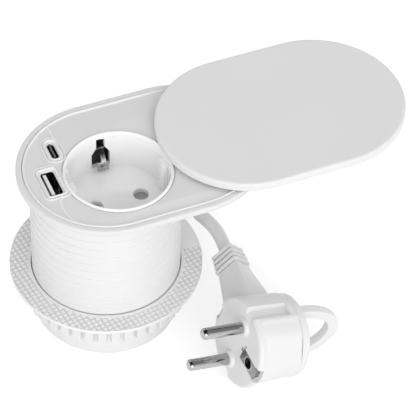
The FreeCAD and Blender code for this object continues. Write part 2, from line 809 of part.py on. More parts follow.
def clamp_nut():
    """The hand nut: upright ribs all round under a plain rim."""
    points = []
    pitch = 360.0 / nut_rib_count
    for index in range(nut_rib_count):
        start = index * pitch
        stop = start + pitch * nut_rib_share
        for radius, angle in ((nut_root, start), (nut_rib_radius, start),
                              (nut_rib_radius, stop), (nut_root, stop)):
            place = on_ring(radius, angle)
            points.append((place.x, place.y))
    ribs = polygon_prism(points, nut_foot, nut_top - nut_collar)
    rim = cylinder(nut_rib_radius, nut_top - nut_collar, nut_top)
    return ribs.fuse(rim).removeSplitter().cut(cylinder(nut_bore, nut_foot - 1, nut_top + 1))


def key_screw_points():
    points = []
    for side in (-1, 1):
        for x in (key_start + key_screw_inset, key_start + key_length - key_screw_inset):
            points.append(V(x, side * key_y, seat_height))
    return points


def slide_keys():
    """Two T-shaped keys on the panel that the lid's slots run along."""
    keys = []
    lip_top = slider_bottom + lip_thick
    head_low = lip_top + key_gap
    middle = key_start + key_length / 2
    for side in (-1, 1):
        place = V(middle, side * key_y, 0)
        stem = block(key_length, key_stem, insert_top, head_low, place)
        head = block(key_length, key_head, head_low, head_low + key_head_thick, place)
        key = stem.fuse(head).removeSplitter()
        for point in key_screw_points():
            key = key.cut(cylinder(fixing_shank + fixing_hole_gap, insert_top - 1, head_low - 0.4, point))
        keys.append(key)
    return keys


def key_screws():
    length = slider_bottom + lip_thick + key_gap - 0.6 - seat_height
    points = key_screw_points()
    return [screw(point, UP, fixing_head, pocket_floor, fixing_shank, length) for point in points]


def lid_plate():
    """The lid's cover: a shallow hollow shell with a rounded upper edge."""
    cover = oval(lid_x, lid_half_run, lid_radius, lid_bottom, lid_top)
    cover = cover.makeFillet(lid_round, rim_edges(cover, lid_top))
    cover = cover.cut(oval(lid_x, lid_half_run, lid_radius - lid_wall, lid_bottom - 1, slider_top))
    for point in lid_screw_points(0):
        cover = cover.cut(cylinder(lid_screw_shank + fixing_hole_gap, slider_top - 1,
                                   slider_top + lid_screw_bite + 0.1, point))
    return cover


def lid_slider():
    """The plate inside the lid, with the two undercut slots that hold the keys."""
    plate = oval(lid_x, lid_half_run, lid_radius - lid_wall - slider_edge_gap, slider_bottom, slider_top)
    slot_start = key_start - key_side_gap
    slot_length = key_length + lid_travel + 2 * key_side_gap
    lip_top = slider_bottom + lip_thick
    for side in (-1, 1):
        place = V(slot_start + slot_length / 2, side * key_y, 0)
        plate = plate.cut(block(slot_length, key_stem + 2 * key_side_gap,
                                slider_bottom - 1, slider_top + 1, place))
        plate = plate.cut(block(slot_length, key_head + 2 * key_side_gap, lip_top, slider_top + 1, place))
    for point in lid_screw_points(slider_bottom):
        plate = plate.cut(screw(point, UP, lid_screw_head + fixing_hole_gap, 1.0,
                                lid_screw_shank + fixing_hole_gap, lid_height))
    return plate


def lid_screw_points(height):
    offsets = ((-lid_screw_x, 0), (lid_screw_x, 0), (0, -lid_screw_y), (0, lid_screw_y))
    return [V(lid_x + x, y, height) for x, y in offsets]


def lid_screws():
    length = slider_top + lid_screw_bite - slider_bottom
    return [screw(point, UP, lid_screw_head, 1.0, lid_screw_shank, length)
            for point in lid_screw_points(slider_bottom)]


def cord_gland():
    """The tapered boot in the cap's wall, held by a shoulder inside."""
    start = cap_radius - cap_wall
    direction = gland_direction()
    shoulder = Part.makeCylinder(gland_shoulder - 0.6, 1.6, along_gland(start - 2.0), direction)
    barrel = Part.makeCylinder(gland_root - 0.05, cap_wall + 2.4, along_gland(start - 1.0), direction)
    boot = Part.makeCone(gland_root - 0.05, gland_tip, gland_length, along_gland(cap_radius), direction)
    body = shoulder.fuse([barrel, boot])
    for index in range(4):
        groove_at = cap_radius + 3.5 + index * 3.6
        outer = Part.makeCylinder(gland_root + 1, 1.0, along_gland(groove_at), direction)
        inner = Part.makeCylinder(gland_tip - 0.3, 3.0, along_gland(groove_at - 1), direction)
        body = body.cut(outer.cut(inner))
    return body.removeSplitter()


def cable_tail():
    """The sheath's inner end, under the clamp."""
    start = along_gland(cap_radius - cap_wall - 2.0 - tail_length)
    return Part.makeCylinder(cord_radius, tail_length, start, gland_direction())


def gland_block(size_ahead, size_across, low, high, distance):
    solid = block(size_ahead, size_across, low, high)
    solid.rotate(V(0, 0, 0), UP, gland_angle)
    solid.translate(along_gland(distance, 0, 0))
    return solid


def cord_clamp():
    low = cap_floor + 0.02
    bar = gland_block(clamp_depth, clamp_width, low, low + clamp_height, clamp_ring)
    groove = gland_block(clamp_depth + 2, 2 * cord_radius + 0.1, low - 1, gland_height, clamp_ring)
    arch = Part.makeCylinder(cord_radius + 0.05, clamp_depth + 2,
                             along_gland(clamp_ring - clamp_depth / 2 - 1), gland_direction())
    bar = bar.cut([groove, arch])
    for side in (-1, 1):
        place = along_gland(clamp_ring, side * clamp_screw_offset, 0)
        bar = bar.cut(cylinder(fixing_shank + fixing_hole_gap, low - 1, low + clamp_height + 1, place))
    return bar


def clamp_screws():
    low = cap_floor + 0.02
    screws = []
    for side in (-1, 1):
        place = along_gland(clamp_ring, side * clamp_screw_offset, 0)
        shank = cylinder(fixing_shank, low, low + clamp_height, place)
        head = cylinder(fixing_head, low + clamp_height, low + clamp_height + 1.5, place)
        screws.append(shank.fuse(head).removeSplitter())
    return screws


def rounded_path(points, label):
    """Straight runs joined by tangent arcs, each as large as its two runs allow."""
    edges = []
    radii = []
    start = points[0]
    for before, corner, after in zip(points, points[1:], points[2:]):
        toward = (corner - before).normalize()
        away = (after - corner).normalize()
        half_turn = toward.getAngle(away) / 2
        reach = 0.45 * min((corner - before).Length, (after - corner).Length)
        radii.append(reach / math.tan(half_turn))
        first = corner - toward * reach
        last = corner + away * reach
        bisector = (away - toward).normalize()
        sagitta = radii[-1] * (1 / math.cos(half_turn) - 1)
        edges.append(Part.LineSegment(start, first).toShape())
        edges.append(Part.Arc(first, corner + bisector * sagitta, last).toShape())
        start = last
    edges.append(Part.LineSegment(start, points[-1]).toShape())
    print(label, "radii", [round(radius, 1) for radius in radii])
    return Part.Wire(edges)


def faceted_ring(centre, direction, radius, sides):
    """A regular polygon square to a direction, of the same area as the round section."""
    ahead = V(direction).normalize()
    across = ahead.cross(UP) if abs(ahead.z) < 0.9 else ahead.cross(V(1, 0, 0))
    across.normalize()
    over = across.cross(ahead)
    corner = math.sqrt(2 * math.pi / (sides * math.sin(2 * math.pi / sides)))
    ring = []
    for index in range(sides + 1):
        turn = 2 * math.pi * (index + 0.5) / sides
        ring.append(centre + (across * math.cos(turn) + over * math.sin(turn)) * radius * corner)
    return Part.makePolygon(ring)


def swept(path, direction, radius, sides, label):
    """Sweeps a faceted section along a path and compares the volume with section times length."""
    start = path.Edges[0].valueAt(path.Edges[0].FirstParameter)
    shell = Part.BRepOffsetAPI.MakePipeShell(path)
    shell.add(faceted_ring(start, direction, radius, sides))
    shell.build()
    shell.makeSolid()
    solid = shell.shape()
    share = solid.Volume / (math.pi * radius ** 2 * path.Length)
    print(label, "length", round(path.Length, 1), "volume share", round(share, 4))
    return solid


def cord_tube(points, label, radius=cord_radius, sides=cord_sides):
    path = rounded_path(points, label)
    return swept(path, points[1] - points[0], radius, sides, label)


def hank_height(layer):
    return tie_thick + tie_gap + cord_radius + layer * hank_pitch


def lead_in_points():
    """From the gland's tip round a quarter turn to the hank's lowest back run, settling to the ground."""
    points = [along_gland(cap_radius + gland_length)]
    for step in range(lead_in_turns + 1):
        ahead = on_ring(lead_in_run, gland_angle * (1 - step / lead_in_turns))
        height = lead_in_fall[min(step, 2)] if step < 3 else hank_height(0)
        points.append(V(points[-1].x + ahead.x, points[-1].y + ahead.y, height))
    return points


def hank_corners():
    """Where the hank's left end begins, and the Y of its middle line, from the end of the lead-in."""
    end = lead_in_points()[-1]
    return end.x + 2 * cord_radius, end.y - hank_radius


hank_left, hank_centre_y = hank_corners()


def lead_out_points():
    """From the hank's top run, down in a sagging bow, and up to the plug's strain relief."""
    start = V(hank_left + hank_run - 2 * cord_radius, hank_centre_y - hank_radius,
              hank_height(hank_turns - 1))
    relief_end = plug_neck_end + relief_length
    return [start, start + V(-11, 0, 0), V(100.5, 43.8, 18.1), V(89.1, 44.6, 11.8), V(77.0, 43.8, 7.2),
            V(66.2, 40.5, 6.2), V(57.1, 34.7, 7.8), V(50.5, 26.8, 11.4), V(47.2, 17.6, 16.0),
            V(47.7, 7.9, 20.7), plug_point(neck_axis(relief_end + 9.5), relief_end + 9.5, 0),
            plug_point(neck_axis(relief_end), relief_end, 0)]


def cord_lead_in():
    return cord_tube(lead_in_points(), "lead in")


def cord_lead_out():
    return cord_tube(lead_out_points(), "lead out")


def biarc(start, start_way, end, end_way):
    """Two tangent arcs from one point and direction to another, as edges."""
    chord = end - start
    ways = start_way + end_way
    a = 2 * (1 - start_way.dot(end_way))
    b = 2 * chord.dot(ways)
    c = -chord.dot(chord)
    if abs(a) < 1e-9:
        reach = -c / b
    else:
        reach = (-b + math.sqrt(b * b - 4 * a * c)) / (2 * a)
    near = start + start_way * reach
    far = end - end_way * reach
    joint = (near + far) * 0.5
    return [arc_with_corner(start, near, joint), arc_with_corner(joint, far, end)]


def arc_with_corner(first, corner, last):
    """The arc from first to last that is tangent to the lines through corner."""
    toward = (corner - first).normalize()
    away = (last - corner).normalize()
    half_turn = toward.getAngle(away) / 2
    radius = (corner - first).Length / math.tan(half_turn)
    middle = corner + (away - toward).normalize() * (radius * (1 / math.cos(half_turn) - 1))
    return Part.Arc(first, middle, last).toShape()


def half_loop(centre, side, height):
    """Half a turn round one end of the hank, clockwise from above."""
    low = V(centre, hank_centre_y - hank_radius, height)
    high = V(centre, hank_centre_y + hank_radius, height)
    tip = V(centre + side * hank_radius, hank_centre_y, height)
    first, last = (high, low) if side > 0 else (low, high)
    return Part.Arc(first, tip, last).toShape()


def hank_side(layer, side, climb):
    """One long run of the hank, drawn in at the waist; it rises by one layer where climb is 1."""
    right = hank_left + hank_run
    start_x, end_x = (hank_left, right) if side > 0 else (right, hank_left)
    way = V(side, 0, 0)
    low = hank_height(layer)
    high = hank_height(layer + climb)
    start = V(start_x, hank_centre_y + side * hank_radius, low)
    end = V(end_x, hank_centre_y + side * hank_radius, high)
    middle = V((start_x + end_x) / 2, hank_centre_y + side * hank_waist, (low + high) / 2)
    slope = V(side * hank_run, 0, 2 * (high - low)).normalize()
    return biarc(start, way, middle, slope) + biarc(middle, slope, end, way)


def hank_path():
    """The whole hank: four layers of one turn, each climbing a layer along its front run."""
    right = hank_left + hank_run
    start = V(hank_left, hank_centre_y + hank_radius, hank_height(0))
    edges = [Part.LineSegment(start - V(2 * cord_radius, 0, 0), start).toShape()]
    for layer in range(hank_turns):
        edges += hank_side(layer, 1, 0)
        edges.append(half_loop(right, 1, hank_height(layer)))
        if layer < hank_turns - 1:
            edges += hank_side(layer, -1, 1)
            edges.append(half_loop(hank_left, -1, hank_height(layer + 1)))
    last = V(right, hank_centre_y - hank_radius, hank_height(hank_turns - 1))
    edges.append(Part.LineSegment(last, last - V(2 * cord_radius, 0, 0)).toShape())
    return Part.Wire(edges)


def report_self_gap(path, step, ignore, label):
    """Prints the least gap of a wound tube to itself, measured on points along its path."""
    points = path.discretize(Distance=step)
    skip = int(ignore / step)
    least = min((points[i] - points[j]).Length
                for i in range(len(points)) for j in range(i + skip, len(points)))
    print(label, "least gap to itself", round(least - 2 * cord_radius, 2))


def cord_hank():
    path = hank_path()
    report_self_gap(path, 3.0, 40.0, "hank")
    return swept(path, V(1, 0, 0), cord_radius, cord_sides, "hank")


def cord_tie():
    """A strap round the hank's waist."""
    middle = hank_left + hank_run / 2
    inner_y = 2 * (hank_waist + cord_radius + tie_gap + 0.3)
    inner_low = tie_thick
    inner_high = hank_height(hank_turns - 1) + cord_radius + tie_gap + 0.2
    place = V(middle, hank_centre_y, 0)
    outer = block(tie_width, inner_y + 2 * tie_thick, 0, inner_high + tie_thick, place)
    along = [e for e in outer.Edges if abs(e.tangentAt(e.FirstParameter).x) > 0.9]
    outer = outer.makeFillet(2.0, along)
    inner = block(tie_width + 2, inner_y, inner_low, inner_high, place)
    along = [e for e in inner.Edges if abs(e.tangentAt(e.FirstParameter).x) > 0.9]
    return outer.cut(inner.makeFillet(1.5, along))


def wire_cores():
    """The three cores, from the sheath's end up to the terminals."""
    start = along_gland(cap_radius - cap_wall - 2.0 - tail_length)
    cores = []
    ends = [place.x for place in contact_places()] + [socket_x]
    offsets = [-wire_fan, wire_fan, 0.0]
    for end_x, offset in zip(ends, offsets):
        first = start + along_gland(0, offset, 0)
        top = cover_bottom - strap_thick - terminal_height + 2.0
        ahead = first - gland_direction() * wire_lead
        corner = V(end_x, socket_y, first.z + wire_rise)
        middle = V(end_x, socket_y + 0.6, (corner.z + top) / 2)
        points = [first, ahead, corner, middle, V(end_x, socket_y, top)]
        cores.append(cord_tube(points, "core", wire_radius, 6))
    return cores


def plug_placement():
    """Leans the plug so that the rounded rim of its back lies on the ground."""
    lean = math.radians(plug_pitch)
    rim_x = plug_length + plug_back_thick - plug_back_round
    rim_z = plug_back_radius - plug_back_round
    height = rim_x * math.sin(lean) + rim_z * math.cos(lean) + plug_back_round
    turn = FreeCAD.Rotation(plug_yaw, plug_pitch, plug_roll)
    return FreeCAD.Placement(V(plug_x, plug_y, height), turn)


def plug_point(x, y, z):
    return plug_placement().multVec(V(x, y, z))


def placed(shape):
    moved = shape.copy()
    moved.Placement = plug_placement().multiply(moved.Placement)
    return moved


def plug_disc(radius, start, stop):
    return Part.makeCylinder(radius, stop - start, V(start, 0, 0), V(1, 0, 0))


def plug_box(x_range, y_range, z_range):
    low = V(x_range[0], y_range[0], z_range[0])
    return Part.makeBox(x_range[1] - low.x, y_range[1] - low.y, z_range[1] - low.z, low)


def neck_axis(y):
    return plug_axis_x + plug_axis_slope * (y - plug_neck_start)


def section(size_x, size_z, y, corner):
    """A cross-section of the neck with bevelled corners."""
    half_x, half_z = size_x / 2, size_z / 2
    outline = [(-half_x + corner, -half_z), (half_x - corner, -half_z), (half_x, -half_z + corner),
               (half_x, half_z - corner), (half_x - corner, half_z), (-half_x + corner, half_z),
               (-half_x, half_z - corner), (-half_x, -half_z + corner)]
    return Part.makePolygon([V(neck_axis(y) + x, y, z) for x, z in outline + outline[:1]])


def plug_flat(turn):
    """A block outside one of the flats, at an angle from the side that faces away from the cord."""
    flat = plug_box((plug_flat_start, plug_length + 1), (-plug_radius - 5, -plug_flat_reach), (-12, 12))
    flat.rotate(V(0, 0, 0), V(1, 0, 0), -turn)
    return flat


def plug_body():
    """The plug's round front with its pin collars, side notches, guide grooves and bevelled neck."""
    body = Part.makeCone(plug_radius, plug_rear_radius, plug_length, V(0, 0, 0), V(1, 0, 0))
    face = [e for e in body.Edges if abs(e.BoundBox.XMin) < 0.01 and abs(e.BoundBox.XMax) < 0.01]
    body = body.makeFillet(plug_face_round, face)
    neck = Part.makeLoft([section(plug_neck_root[0], plug_neck_root[1], plug_neck_start, 3.5),
                          section(plug_neck_tip[0], plug_neck_tip[1], plug_neck_end, 2.2)], True, True)
    collars = [Part.makeCylinder(plug_collar_radius, plug_collar_height + 1,
                                 V(-plug_collar_height, 0, side), V(1, 0, 0))
               for side in (-pin_spacing / 2, pin_spacing / 2)]
    body = body.fuse([neck] + collars).removeSplitter()
    half_groove = plug_groove_width / 2
    half_notch = plug_notch_width / 2
    rim = plug_radius - plug_groove_depth
    edge = plug_radius - plug_notch_depth
    cuts = [plug_box((-1, plug_length - 3), (-half_groove, half_groove), (rim, plug_radius + 1)),
            plug_box((-1, plug_length - 3), (-half_groove, half_groove), (-plug_radius - 1, -rim)),
            plug_box((-1, plug_side_depth), (-plug_radius - 1, -edge), (-half_notch, half_notch)),
            plug_box((-1, plug_side_depth), (edge, plug_radius + 1), (-half_notch, half_notch)),
            plug_flat(plug_flat_turn), plug_flat(-plug_flat_turn)]
    for side in (-pin_spacing / 2, pin_spacing / 2):
        cuts.append(Part.makeCylinder(plug_pin_neck + 0.03, plug_pin_root + plug_collar_height + 1,
                                      V(-plug_collar_height - 1, 0, side), V(1, 0, 0)))
    socket_radius = plug_pin_radius + 0.1
    cuts.append(Part.makeCylinder(socket_radius, 9.0, V(-1, earth_hole_y(), 0), V(1, 0, 0)))
    seat_half = plug_plate_half + 0.1
    cuts.append(plug_box((-1, plug_contact_thick), (-edge - 0.1, earth_hole_y() + plug_plate_top + 0.1),
                         (-seat_half, seat_half)))
    return placed(body.cut(cuts))


def earth_hole_y():
    return -10.5


def plug_pins():
    pins = []
    for side in (-pin_spacing / 2, pin_spacing / 2):
        shank = plug_pin_length - plug_collar_height - plug_neck_clear
        pin = Part.makeCylinder(plug_pin_radius, shank, V(-plug_pin_length, 0, side), V(1, 0, 0))
        tip = [e for e in pin.Edges if abs(e.BoundBox.XMin + plug_pin_length) < 0.01
               and abs(e.BoundBox.XMax + plug_pin_length) < 0.01]
        neck = Part.makeCylinder(plug_pin_neck, plug_pin_length + plug_pin_root - 2.0,
                                 V(2.0 - plug_pin_length, 0, side), V(1, 0, 0))
        pins.append(placed(pin.makeFillet(plug_pin_tip, tip).fuse(neck).removeSplitter()))
    return pins


def plug_earth_clips():
    """The front earth plate with its round hole and side contact, and the rear side contact."""
    edge = plug_radius - plug_notch_depth
    half = plug_contact_width / 2
    plate = plug_box((0, plug_contact_thick - 0.05),
                     (-edge - plug_contact_thick, earth_hole_y() + plug_plate_top),
                     (-plug_plate_half, plug_plate_half))
    plate = plate.cut(Part.makeCylinder(plug_pin_radius, 4, V(-1, earth_hole_y(), 0), V(1, 0, 0)))
    front = plug_box((0, plug_side_depth - 0.05), (-edge - plug_contact_thick, -edge - 0.03), (-half, half))
    back = plug_box((0.4, plug_side_depth - 0.05), (edge + 0.03, edge + plug_contact_thick), (-half, half))
    return [placed(plate.fuse(front).removeSplitter()), placed(back)]


def plug_back():
    """The plug's back plate, with the two sockets of the pull ring."""
    plate = plug_disc(plug_back_radius, plug_length, plug_length + plug_back_thick)
    far = plug_length + plug_back_thick
    rim = [e for e in plate.Edges if abs(e.BoundBox.XMin - far) < 0.01 and abs(e.BoundBox.XMax - far) < 0.01]
    plate = plate.makeFillet(plug_back_round, rim)
    half_hole = ring_thick / 2 + 0.1
    for middle in (-ring_half_height, ring_half_height):
        plate = plate.cut(plug_box((far - ring_socket_depth, far + 1),
                                   (-ring_width / 2 - 0.1, ring_width / 2 + 0.1),
                                   (middle - half_hole, middle + half_hole)))
    return placed(plate)


def plug_pull_ring():
    """A flat half oval that stands out behind the back plate, with both ends set into it."""
    far = plug_length + plug_back_thick
    side = -ring_width / 2
    root = far - ring_socket_depth + 0.05

    def bow(half, reach):
        oval_curve = Part.Ellipse(V(far + reach, side, 0), V(far, side, half), V(far, side, 0))
        return [Part.ArcOfEllipse(oval_curve, -math.pi / 2, math.pi / 2).toShape(),
                Part.LineSegment(V(root, side, half), V(far, side, half)).toShape(),
                Part.LineSegment(V(root, side, -half), V(far, side, -half)).toShape()]

    outer_half = ring_half_height + ring_thick / 2
    inner_half = ring_half_height - ring_thick / 2
    ends = [Part.LineSegment(V(root, side, sign * outer_half), V(root, side, sign * inner_half)).toShape()
            for sign in (-1, 1)]
    edges = bow(outer_half, ring_reach) + bow(inner_half, ring_reach - ring_side_thick) + ends
    wire = Part.Wire(Part.__sortEdges__(edges))
    return placed(Part.Face(wire).extrude(V(0, ring_width, 0)))


def plug_strain_relief():
    """The ribbed boot between the neck and the cord."""
    lean = V(plug_axis_slope, 1, 0)
    foot = plug_neck_end - 1.0
    core = Part.makeCone(relief_core, cord_radius + 0.6, (relief_length + 1.0) * lean.Length,
                         V(neck_axis(foot), foot, 0), lean)
    core = core.cut(plug_box((0, 30), (plug_neck_end - 4, plug_neck_end), (-10, 10)))
    ribs = []
    pitch = (relief_length - 2.0) / relief_rib_count
    for index in range(relief_rib_count):
        start = plug_neck_end + 0.9 + index * pitch
        size = relief_rib - index * 0.35
        rib = Part.Face(section(size, size, start, 2.6)).extrude(V(0, relief_rib_thick, 0))
        ribs.append(rib)
    return placed(core.fuse(ribs).removeSplitter())


os.makedirs("parts", exist_ok=True)

pieces = {
    "bezel_frame": bezel_frame, "socket_panel": socket_panel, "usb_panel": usb_panel,
    "frame_screws": frame_screws, "socket_cup": socket_cup, "contact_block": contact_block,
    "block_cover": block_cover, "block_screws": block_screws, "pin_contacts": pin_contacts,
    "terminal_screws": terminal_screws, "earth_bracket": earth_bracket, "shutter": shutter,
    "shutter_spring": shutter_spring, "usb_a_shell": usb_a_shell, "usb_a_tongue": usb_a_tongue_piece,
    "usb_c_shell": usb_c_shell, "usb_c_tongue": usb_c_tongue_piece, "usb_board": usb_board,
    "housing_tube": housing_tube, "bottom_cap": bottom_cap, "cap_screws": cap_screws,
    "charger_board": charger_board, "board_screws": board_screws,
    "charger_transformer": charger_transformer, "charger_capacitors": charger_capacitors,
    "clamp_washer": clamp_washer, "clamp_nut": clamp_nut, "slide_keys": slide_keys,
    "key_screws": key_screws, "lid_plate": lid_plate, "lid_slider": lid_slider, "lid_screws": lid_screws,
    "cord_gland": cord_gland, "cable_tail": cable_tail, "cord_clamp": cord_clamp,
    "clamp_screws": clamp_screws, "wire_cores": wire_cores, "cord_lead_in": cord_lead_in,
    "cord_hank": cord_hank, "cord_tie": cord_tie, "cord_lead_out": cord_lead_out,
    "plug_body": plug_body, "plug_pins": plug_pins, "plug_earth_clips": plug_earth_clips,
    "plug_back": plug_back, "plug_pull_ring": plug_pull_ring, "plug_strain_relief": plug_strain_relief,
}

for name, make in pieces.items():
    made = make()
    shape = Part.makeCompound(made) if isinstance(made, list) else made
    shape.exportStep("parts/" + name + ".step")
    box = shape.BoundBox
    print(name, "solids", len(shape.Solids), "valid", shape.isValid(), "volume", round(shape.Volume, 1),
          "z", round(box.ZMin, 2), round(box.ZMax, 2))
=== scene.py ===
"""Dresses the built-in desk socket: bezel, lid, earthed cup, USB ports, threaded body, cord and plug."""
from __future__ import annotations

import logging
import math
from dataclasses import dataclass
from enum import Enum
from functools import cache
from typing import Sequence

import bmesh
import bpy
import numpy as np
from mathutils import Matrix, Vector

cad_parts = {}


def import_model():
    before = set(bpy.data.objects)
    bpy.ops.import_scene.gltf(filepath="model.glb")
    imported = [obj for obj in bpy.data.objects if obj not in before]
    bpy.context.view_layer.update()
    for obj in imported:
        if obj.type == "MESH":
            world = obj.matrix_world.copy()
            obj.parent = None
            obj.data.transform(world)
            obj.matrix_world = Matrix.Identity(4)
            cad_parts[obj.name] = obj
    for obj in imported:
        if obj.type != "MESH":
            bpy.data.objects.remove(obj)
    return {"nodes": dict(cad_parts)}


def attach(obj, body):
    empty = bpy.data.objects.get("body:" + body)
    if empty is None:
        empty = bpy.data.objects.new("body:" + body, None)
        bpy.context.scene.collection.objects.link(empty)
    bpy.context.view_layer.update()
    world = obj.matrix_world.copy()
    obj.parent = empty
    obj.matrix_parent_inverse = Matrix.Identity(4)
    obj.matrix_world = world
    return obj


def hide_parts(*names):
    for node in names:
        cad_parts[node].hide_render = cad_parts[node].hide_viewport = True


MM = 0.001
FULL_TURN = 2 * math.pi
SHARP = math.radians(32)
log = logging.getLogger("desk_socket")
Points = np.ndarray
Pair = tuple[float, float]
Triple = tuple[float, float, float]
CAD_NODES: dict[str, bpy.types.Object] = {}


class Body(str, Enum):
    """The rigid bodies that the pieces ride on."""

    HOUSING = "housing"
    LID = "lid"
    WASHER = "washer"
    NUT = "nut"


# Meshes


def linked(name: str, data: bpy.types.ID) -> bpy.types.Object:
    """A new object that holds the data, linked to the scene.

    Args:
        name: name of the object.
        data: its mesh, curve, camera or light.

    Returns:
        The object.
    """
    obj = bpy.data.objects.new(name, data)
    bpy.context.scene.collection.objects.link(obj)
    return obj


def shade(mesh: bpy.types.Mesh) -> None:
    """Shades a mesh smooth between its sharp edges."""
    mesh.polygons.foreach_set("use_smooth", np.ones(len(mesh.polygons), bool))
    mesh.set_sharp_from_angle(angle=SHARP)


def evaluated(obj: bpy.types.Object) -> bpy.types.Mesh:
    """A new mesh of what the object shows, with its curve or its modifiers worked in."""
    bpy.context.view_layer.update()
    return bpy.data.meshes.new_from_object(obj.evaluated_get(bpy.context.evaluated_depsgraph_get()))


def finish_mesh(name: str, mesh: bpy.types.Mesh) -> bpy.types.Object:
    """Welds doubles, turns the faces outwards and shades the mesh.

    Args:
        name: name of the object.
        mesh: the mesh to finish.

    Returns:
        The linked object.
    """
    work = bmesh.new()
    work.from_mesh(mesh)
    bmesh.ops.remove_doubles(work, verts=work.verts, dist=1e-7)
    bmesh.ops.dissolve_degenerate(work, dist=1e-8, edges=work.edges)
    bmesh.ops.recalc_face_normals(work, faces=work.faces)
    work.to_mesh(mesh)
    work.free()
    shade(mesh)
    return linked(name, mesh)


def grid_object(name: str, points: Points, wrap_rows: bool = False, capped: bool = False,
                painted_shade: Points | None = None) -> bpy.types.Object:
    """Makes a mesh from a grid of points: each cell between two rows and two columns is one quad.

    Args:
        name: name of the object and its mesh.
        points: array of rows x columns x 3, in millimetres; the last column joins the first.
        wrap_rows: joins the last row to the first.
        capped: closes the first and the last row with a face each.
        painted_shade: rows x columns, from 0 to 1, how much painted shade the finish puts on each point in a
            groove.

    Returns:
        The linked object, at the origin, in metres.
    """
    rows, columns = points.shape[:2]
    index = np.arange(rows * columns).reshape(rows, columns)
    lower = index if wrap_rows else index[:-1]
    upper = np.roll(index, -1, 0) if wrap_rows else index[1:]
    faces = np.stack([lower, np.roll(lower, -1, 1), np.roll(upper, -1, 1), upper], -1).reshape(-1, 4).tolist()
    if capped:
        faces += [index[0, ::-1].tolist(), index[-1].tolist()]
    mesh = bpy.data.meshes.new(name)
    mesh.from_pydata((points.reshape(-1, 3) * MM).tolist(), [], faces)
    if painted_shade is not None:
        layer = mesh.attributes.new("painted_shade", "FLOAT", "POINT")
        layer.data.foreach_set("value", np.asarray(painted_shade, np.float32).ravel())
    return finish_mesh(name, mesh)


def step(value: Points, low: float, high: float) -> Points:
    """A smooth step: 0 below low, 1 above high, and 3 s squared minus 2 s cubed between them."""
    share = np.clip((value - low) / (high - low), 0, 1)
    return share * share * (3 - 2 * share)


def around(columns: int) -> Points:
    """Even angles once round a circle, without its end."""
    return np.linspace(0, FULL_TURN, columns, endpoint=False)


def rings(radius: Points, height: Points, turn: Points, centre: Pair = (0.0, 0.0)) -> Points:
    """Points on level rings: centre + radius * (cos t, sin t), height.

    Args:
        radius: rows x 1, or rows x columns where it changes round the ring.
        height: rows x 1.
        turn: the angles of the columns.
        centre: the vertical axis, in millimetres.

    Returns:
        Array of rows x columns x 3, in millimetres.
    """
    x, y = centre[0] + radius * np.cos(turn), centre[1] + radius * np.sin(turn)
    return np.stack(np.broadcast_arrays(x, y, height), -1)


def turned(name: str, profile: Sequence[Pair], centre: Pair = (0.0, 0.0),
           columns: int = 128) -> bpy.types.Object:
    """Turns a profile of (radius, height) about an upright axis; one that starts off the axis is a ring.

    Args:
        name: name of the object.
        profile: corner points in millimetres, with the rounding already in them.
        centre: the axis, in millimetres.
        columns: steps round the axis.

    Returns:
        The linked object.
    """
    shape = np.asarray(profile, float)
    points = rings(shape[:, :1], shape[:, 1:], around(columns), centre)
    return grid_object(name, points, wrap_rows=shape[0, 0] > 0)


def oval_outline(radius: Points, centre_x: float, half_run: float, columns: int) -> Points:
    """Points of long ovals, one row for each radius: two half circles whose centres lie half_run either side.

    Args:
        radius: radii of the half circles, one for each row.
        centre_x: middle of the oval.
        half_run: half of the straight side.
        columns: points round each oval, a multiple of two.

    Returns:
        Array of rows x columns x 2, in millimetres.
    """
    half = columns // 2
    right = np.linspace(-math.pi / 2, math.pi / 2, half)
    turn = np.concatenate([right, np.linspace(math.pi / 2, 1.5 * math.pi, half)])
    side = np.concatenate([np.full(half, half_run), np.full(half, -half_run)])
    rows = np.asarray(radius, float)[:, None]
    return np.stack([centre_x + side + rows * np.cos(turn), rows * np.sin(turn)], -1)


def oval_solid(name: str, profile: Sequence[Pair], centre_x: float, half_run: float,
               columns: int = 192, closed: bool = True) -> bpy.types.Object:
    """Carries a profile of (radius, height) round a long oval.

    Args:
        name: name of the object.
        profile: corner points in millimetres; radius 0 lies on the oval's spine.
        centre_x: middle of the oval.
        half_run: half of its straight side.
        columns: points round it.
        closed: joins the profile's last point to its first.

    Returns:
        The linked object.
    """
    shape = np.asarray(profile, float)
    flat = oval_outline(shape[:, 0], centre_x, half_run, columns)
    height = np.broadcast_to(shape[:, 1:2, None], (len(shape), columns, 1))
    return grid_object(name, np.concatenate([flat, height], -1), wrap_rows=closed)


def rounded(corners: Sequence[Pair], radii: Sequence[float], steps: int = 5) -> list[Pair]:
    """Rounds the corners of a closed profile with quadratic curves between the tangent points.

    A point a little way past each tangent point keeps the flat beside the rounding flat in the shading.

    Args:
        corners: profile corners in order.
        radii: rounding of each corner; 0 keeps it sharp.
        steps: points on each rounding.

    Returns:
        The profile's points.
    """
    hold = 0.04
    points: list[Pair] = []
    for place, radius in enumerate(radii):
        corner = np.array(corners[place], float)
        if radius == 0:
            points.append(tuple(corner))
            continue
        before = np.array(corners[place - 1], float) - corner
        after = np.array(corners[(place + 1) % len(corners)], float) - corner
        before /= np.linalg.norm(before)
        after /= np.linalg.norm(after)
        share = np.linspace(0, 1, steps)[:, None]
        curve = corner + radius * ((1 - share) ** 2 * before + share ** 2 * after)
        held = [corner + (radius + hold) * before, *curve, corner + (radius + hold) * after]
        points += [tuple(p) for p in held]
    return points


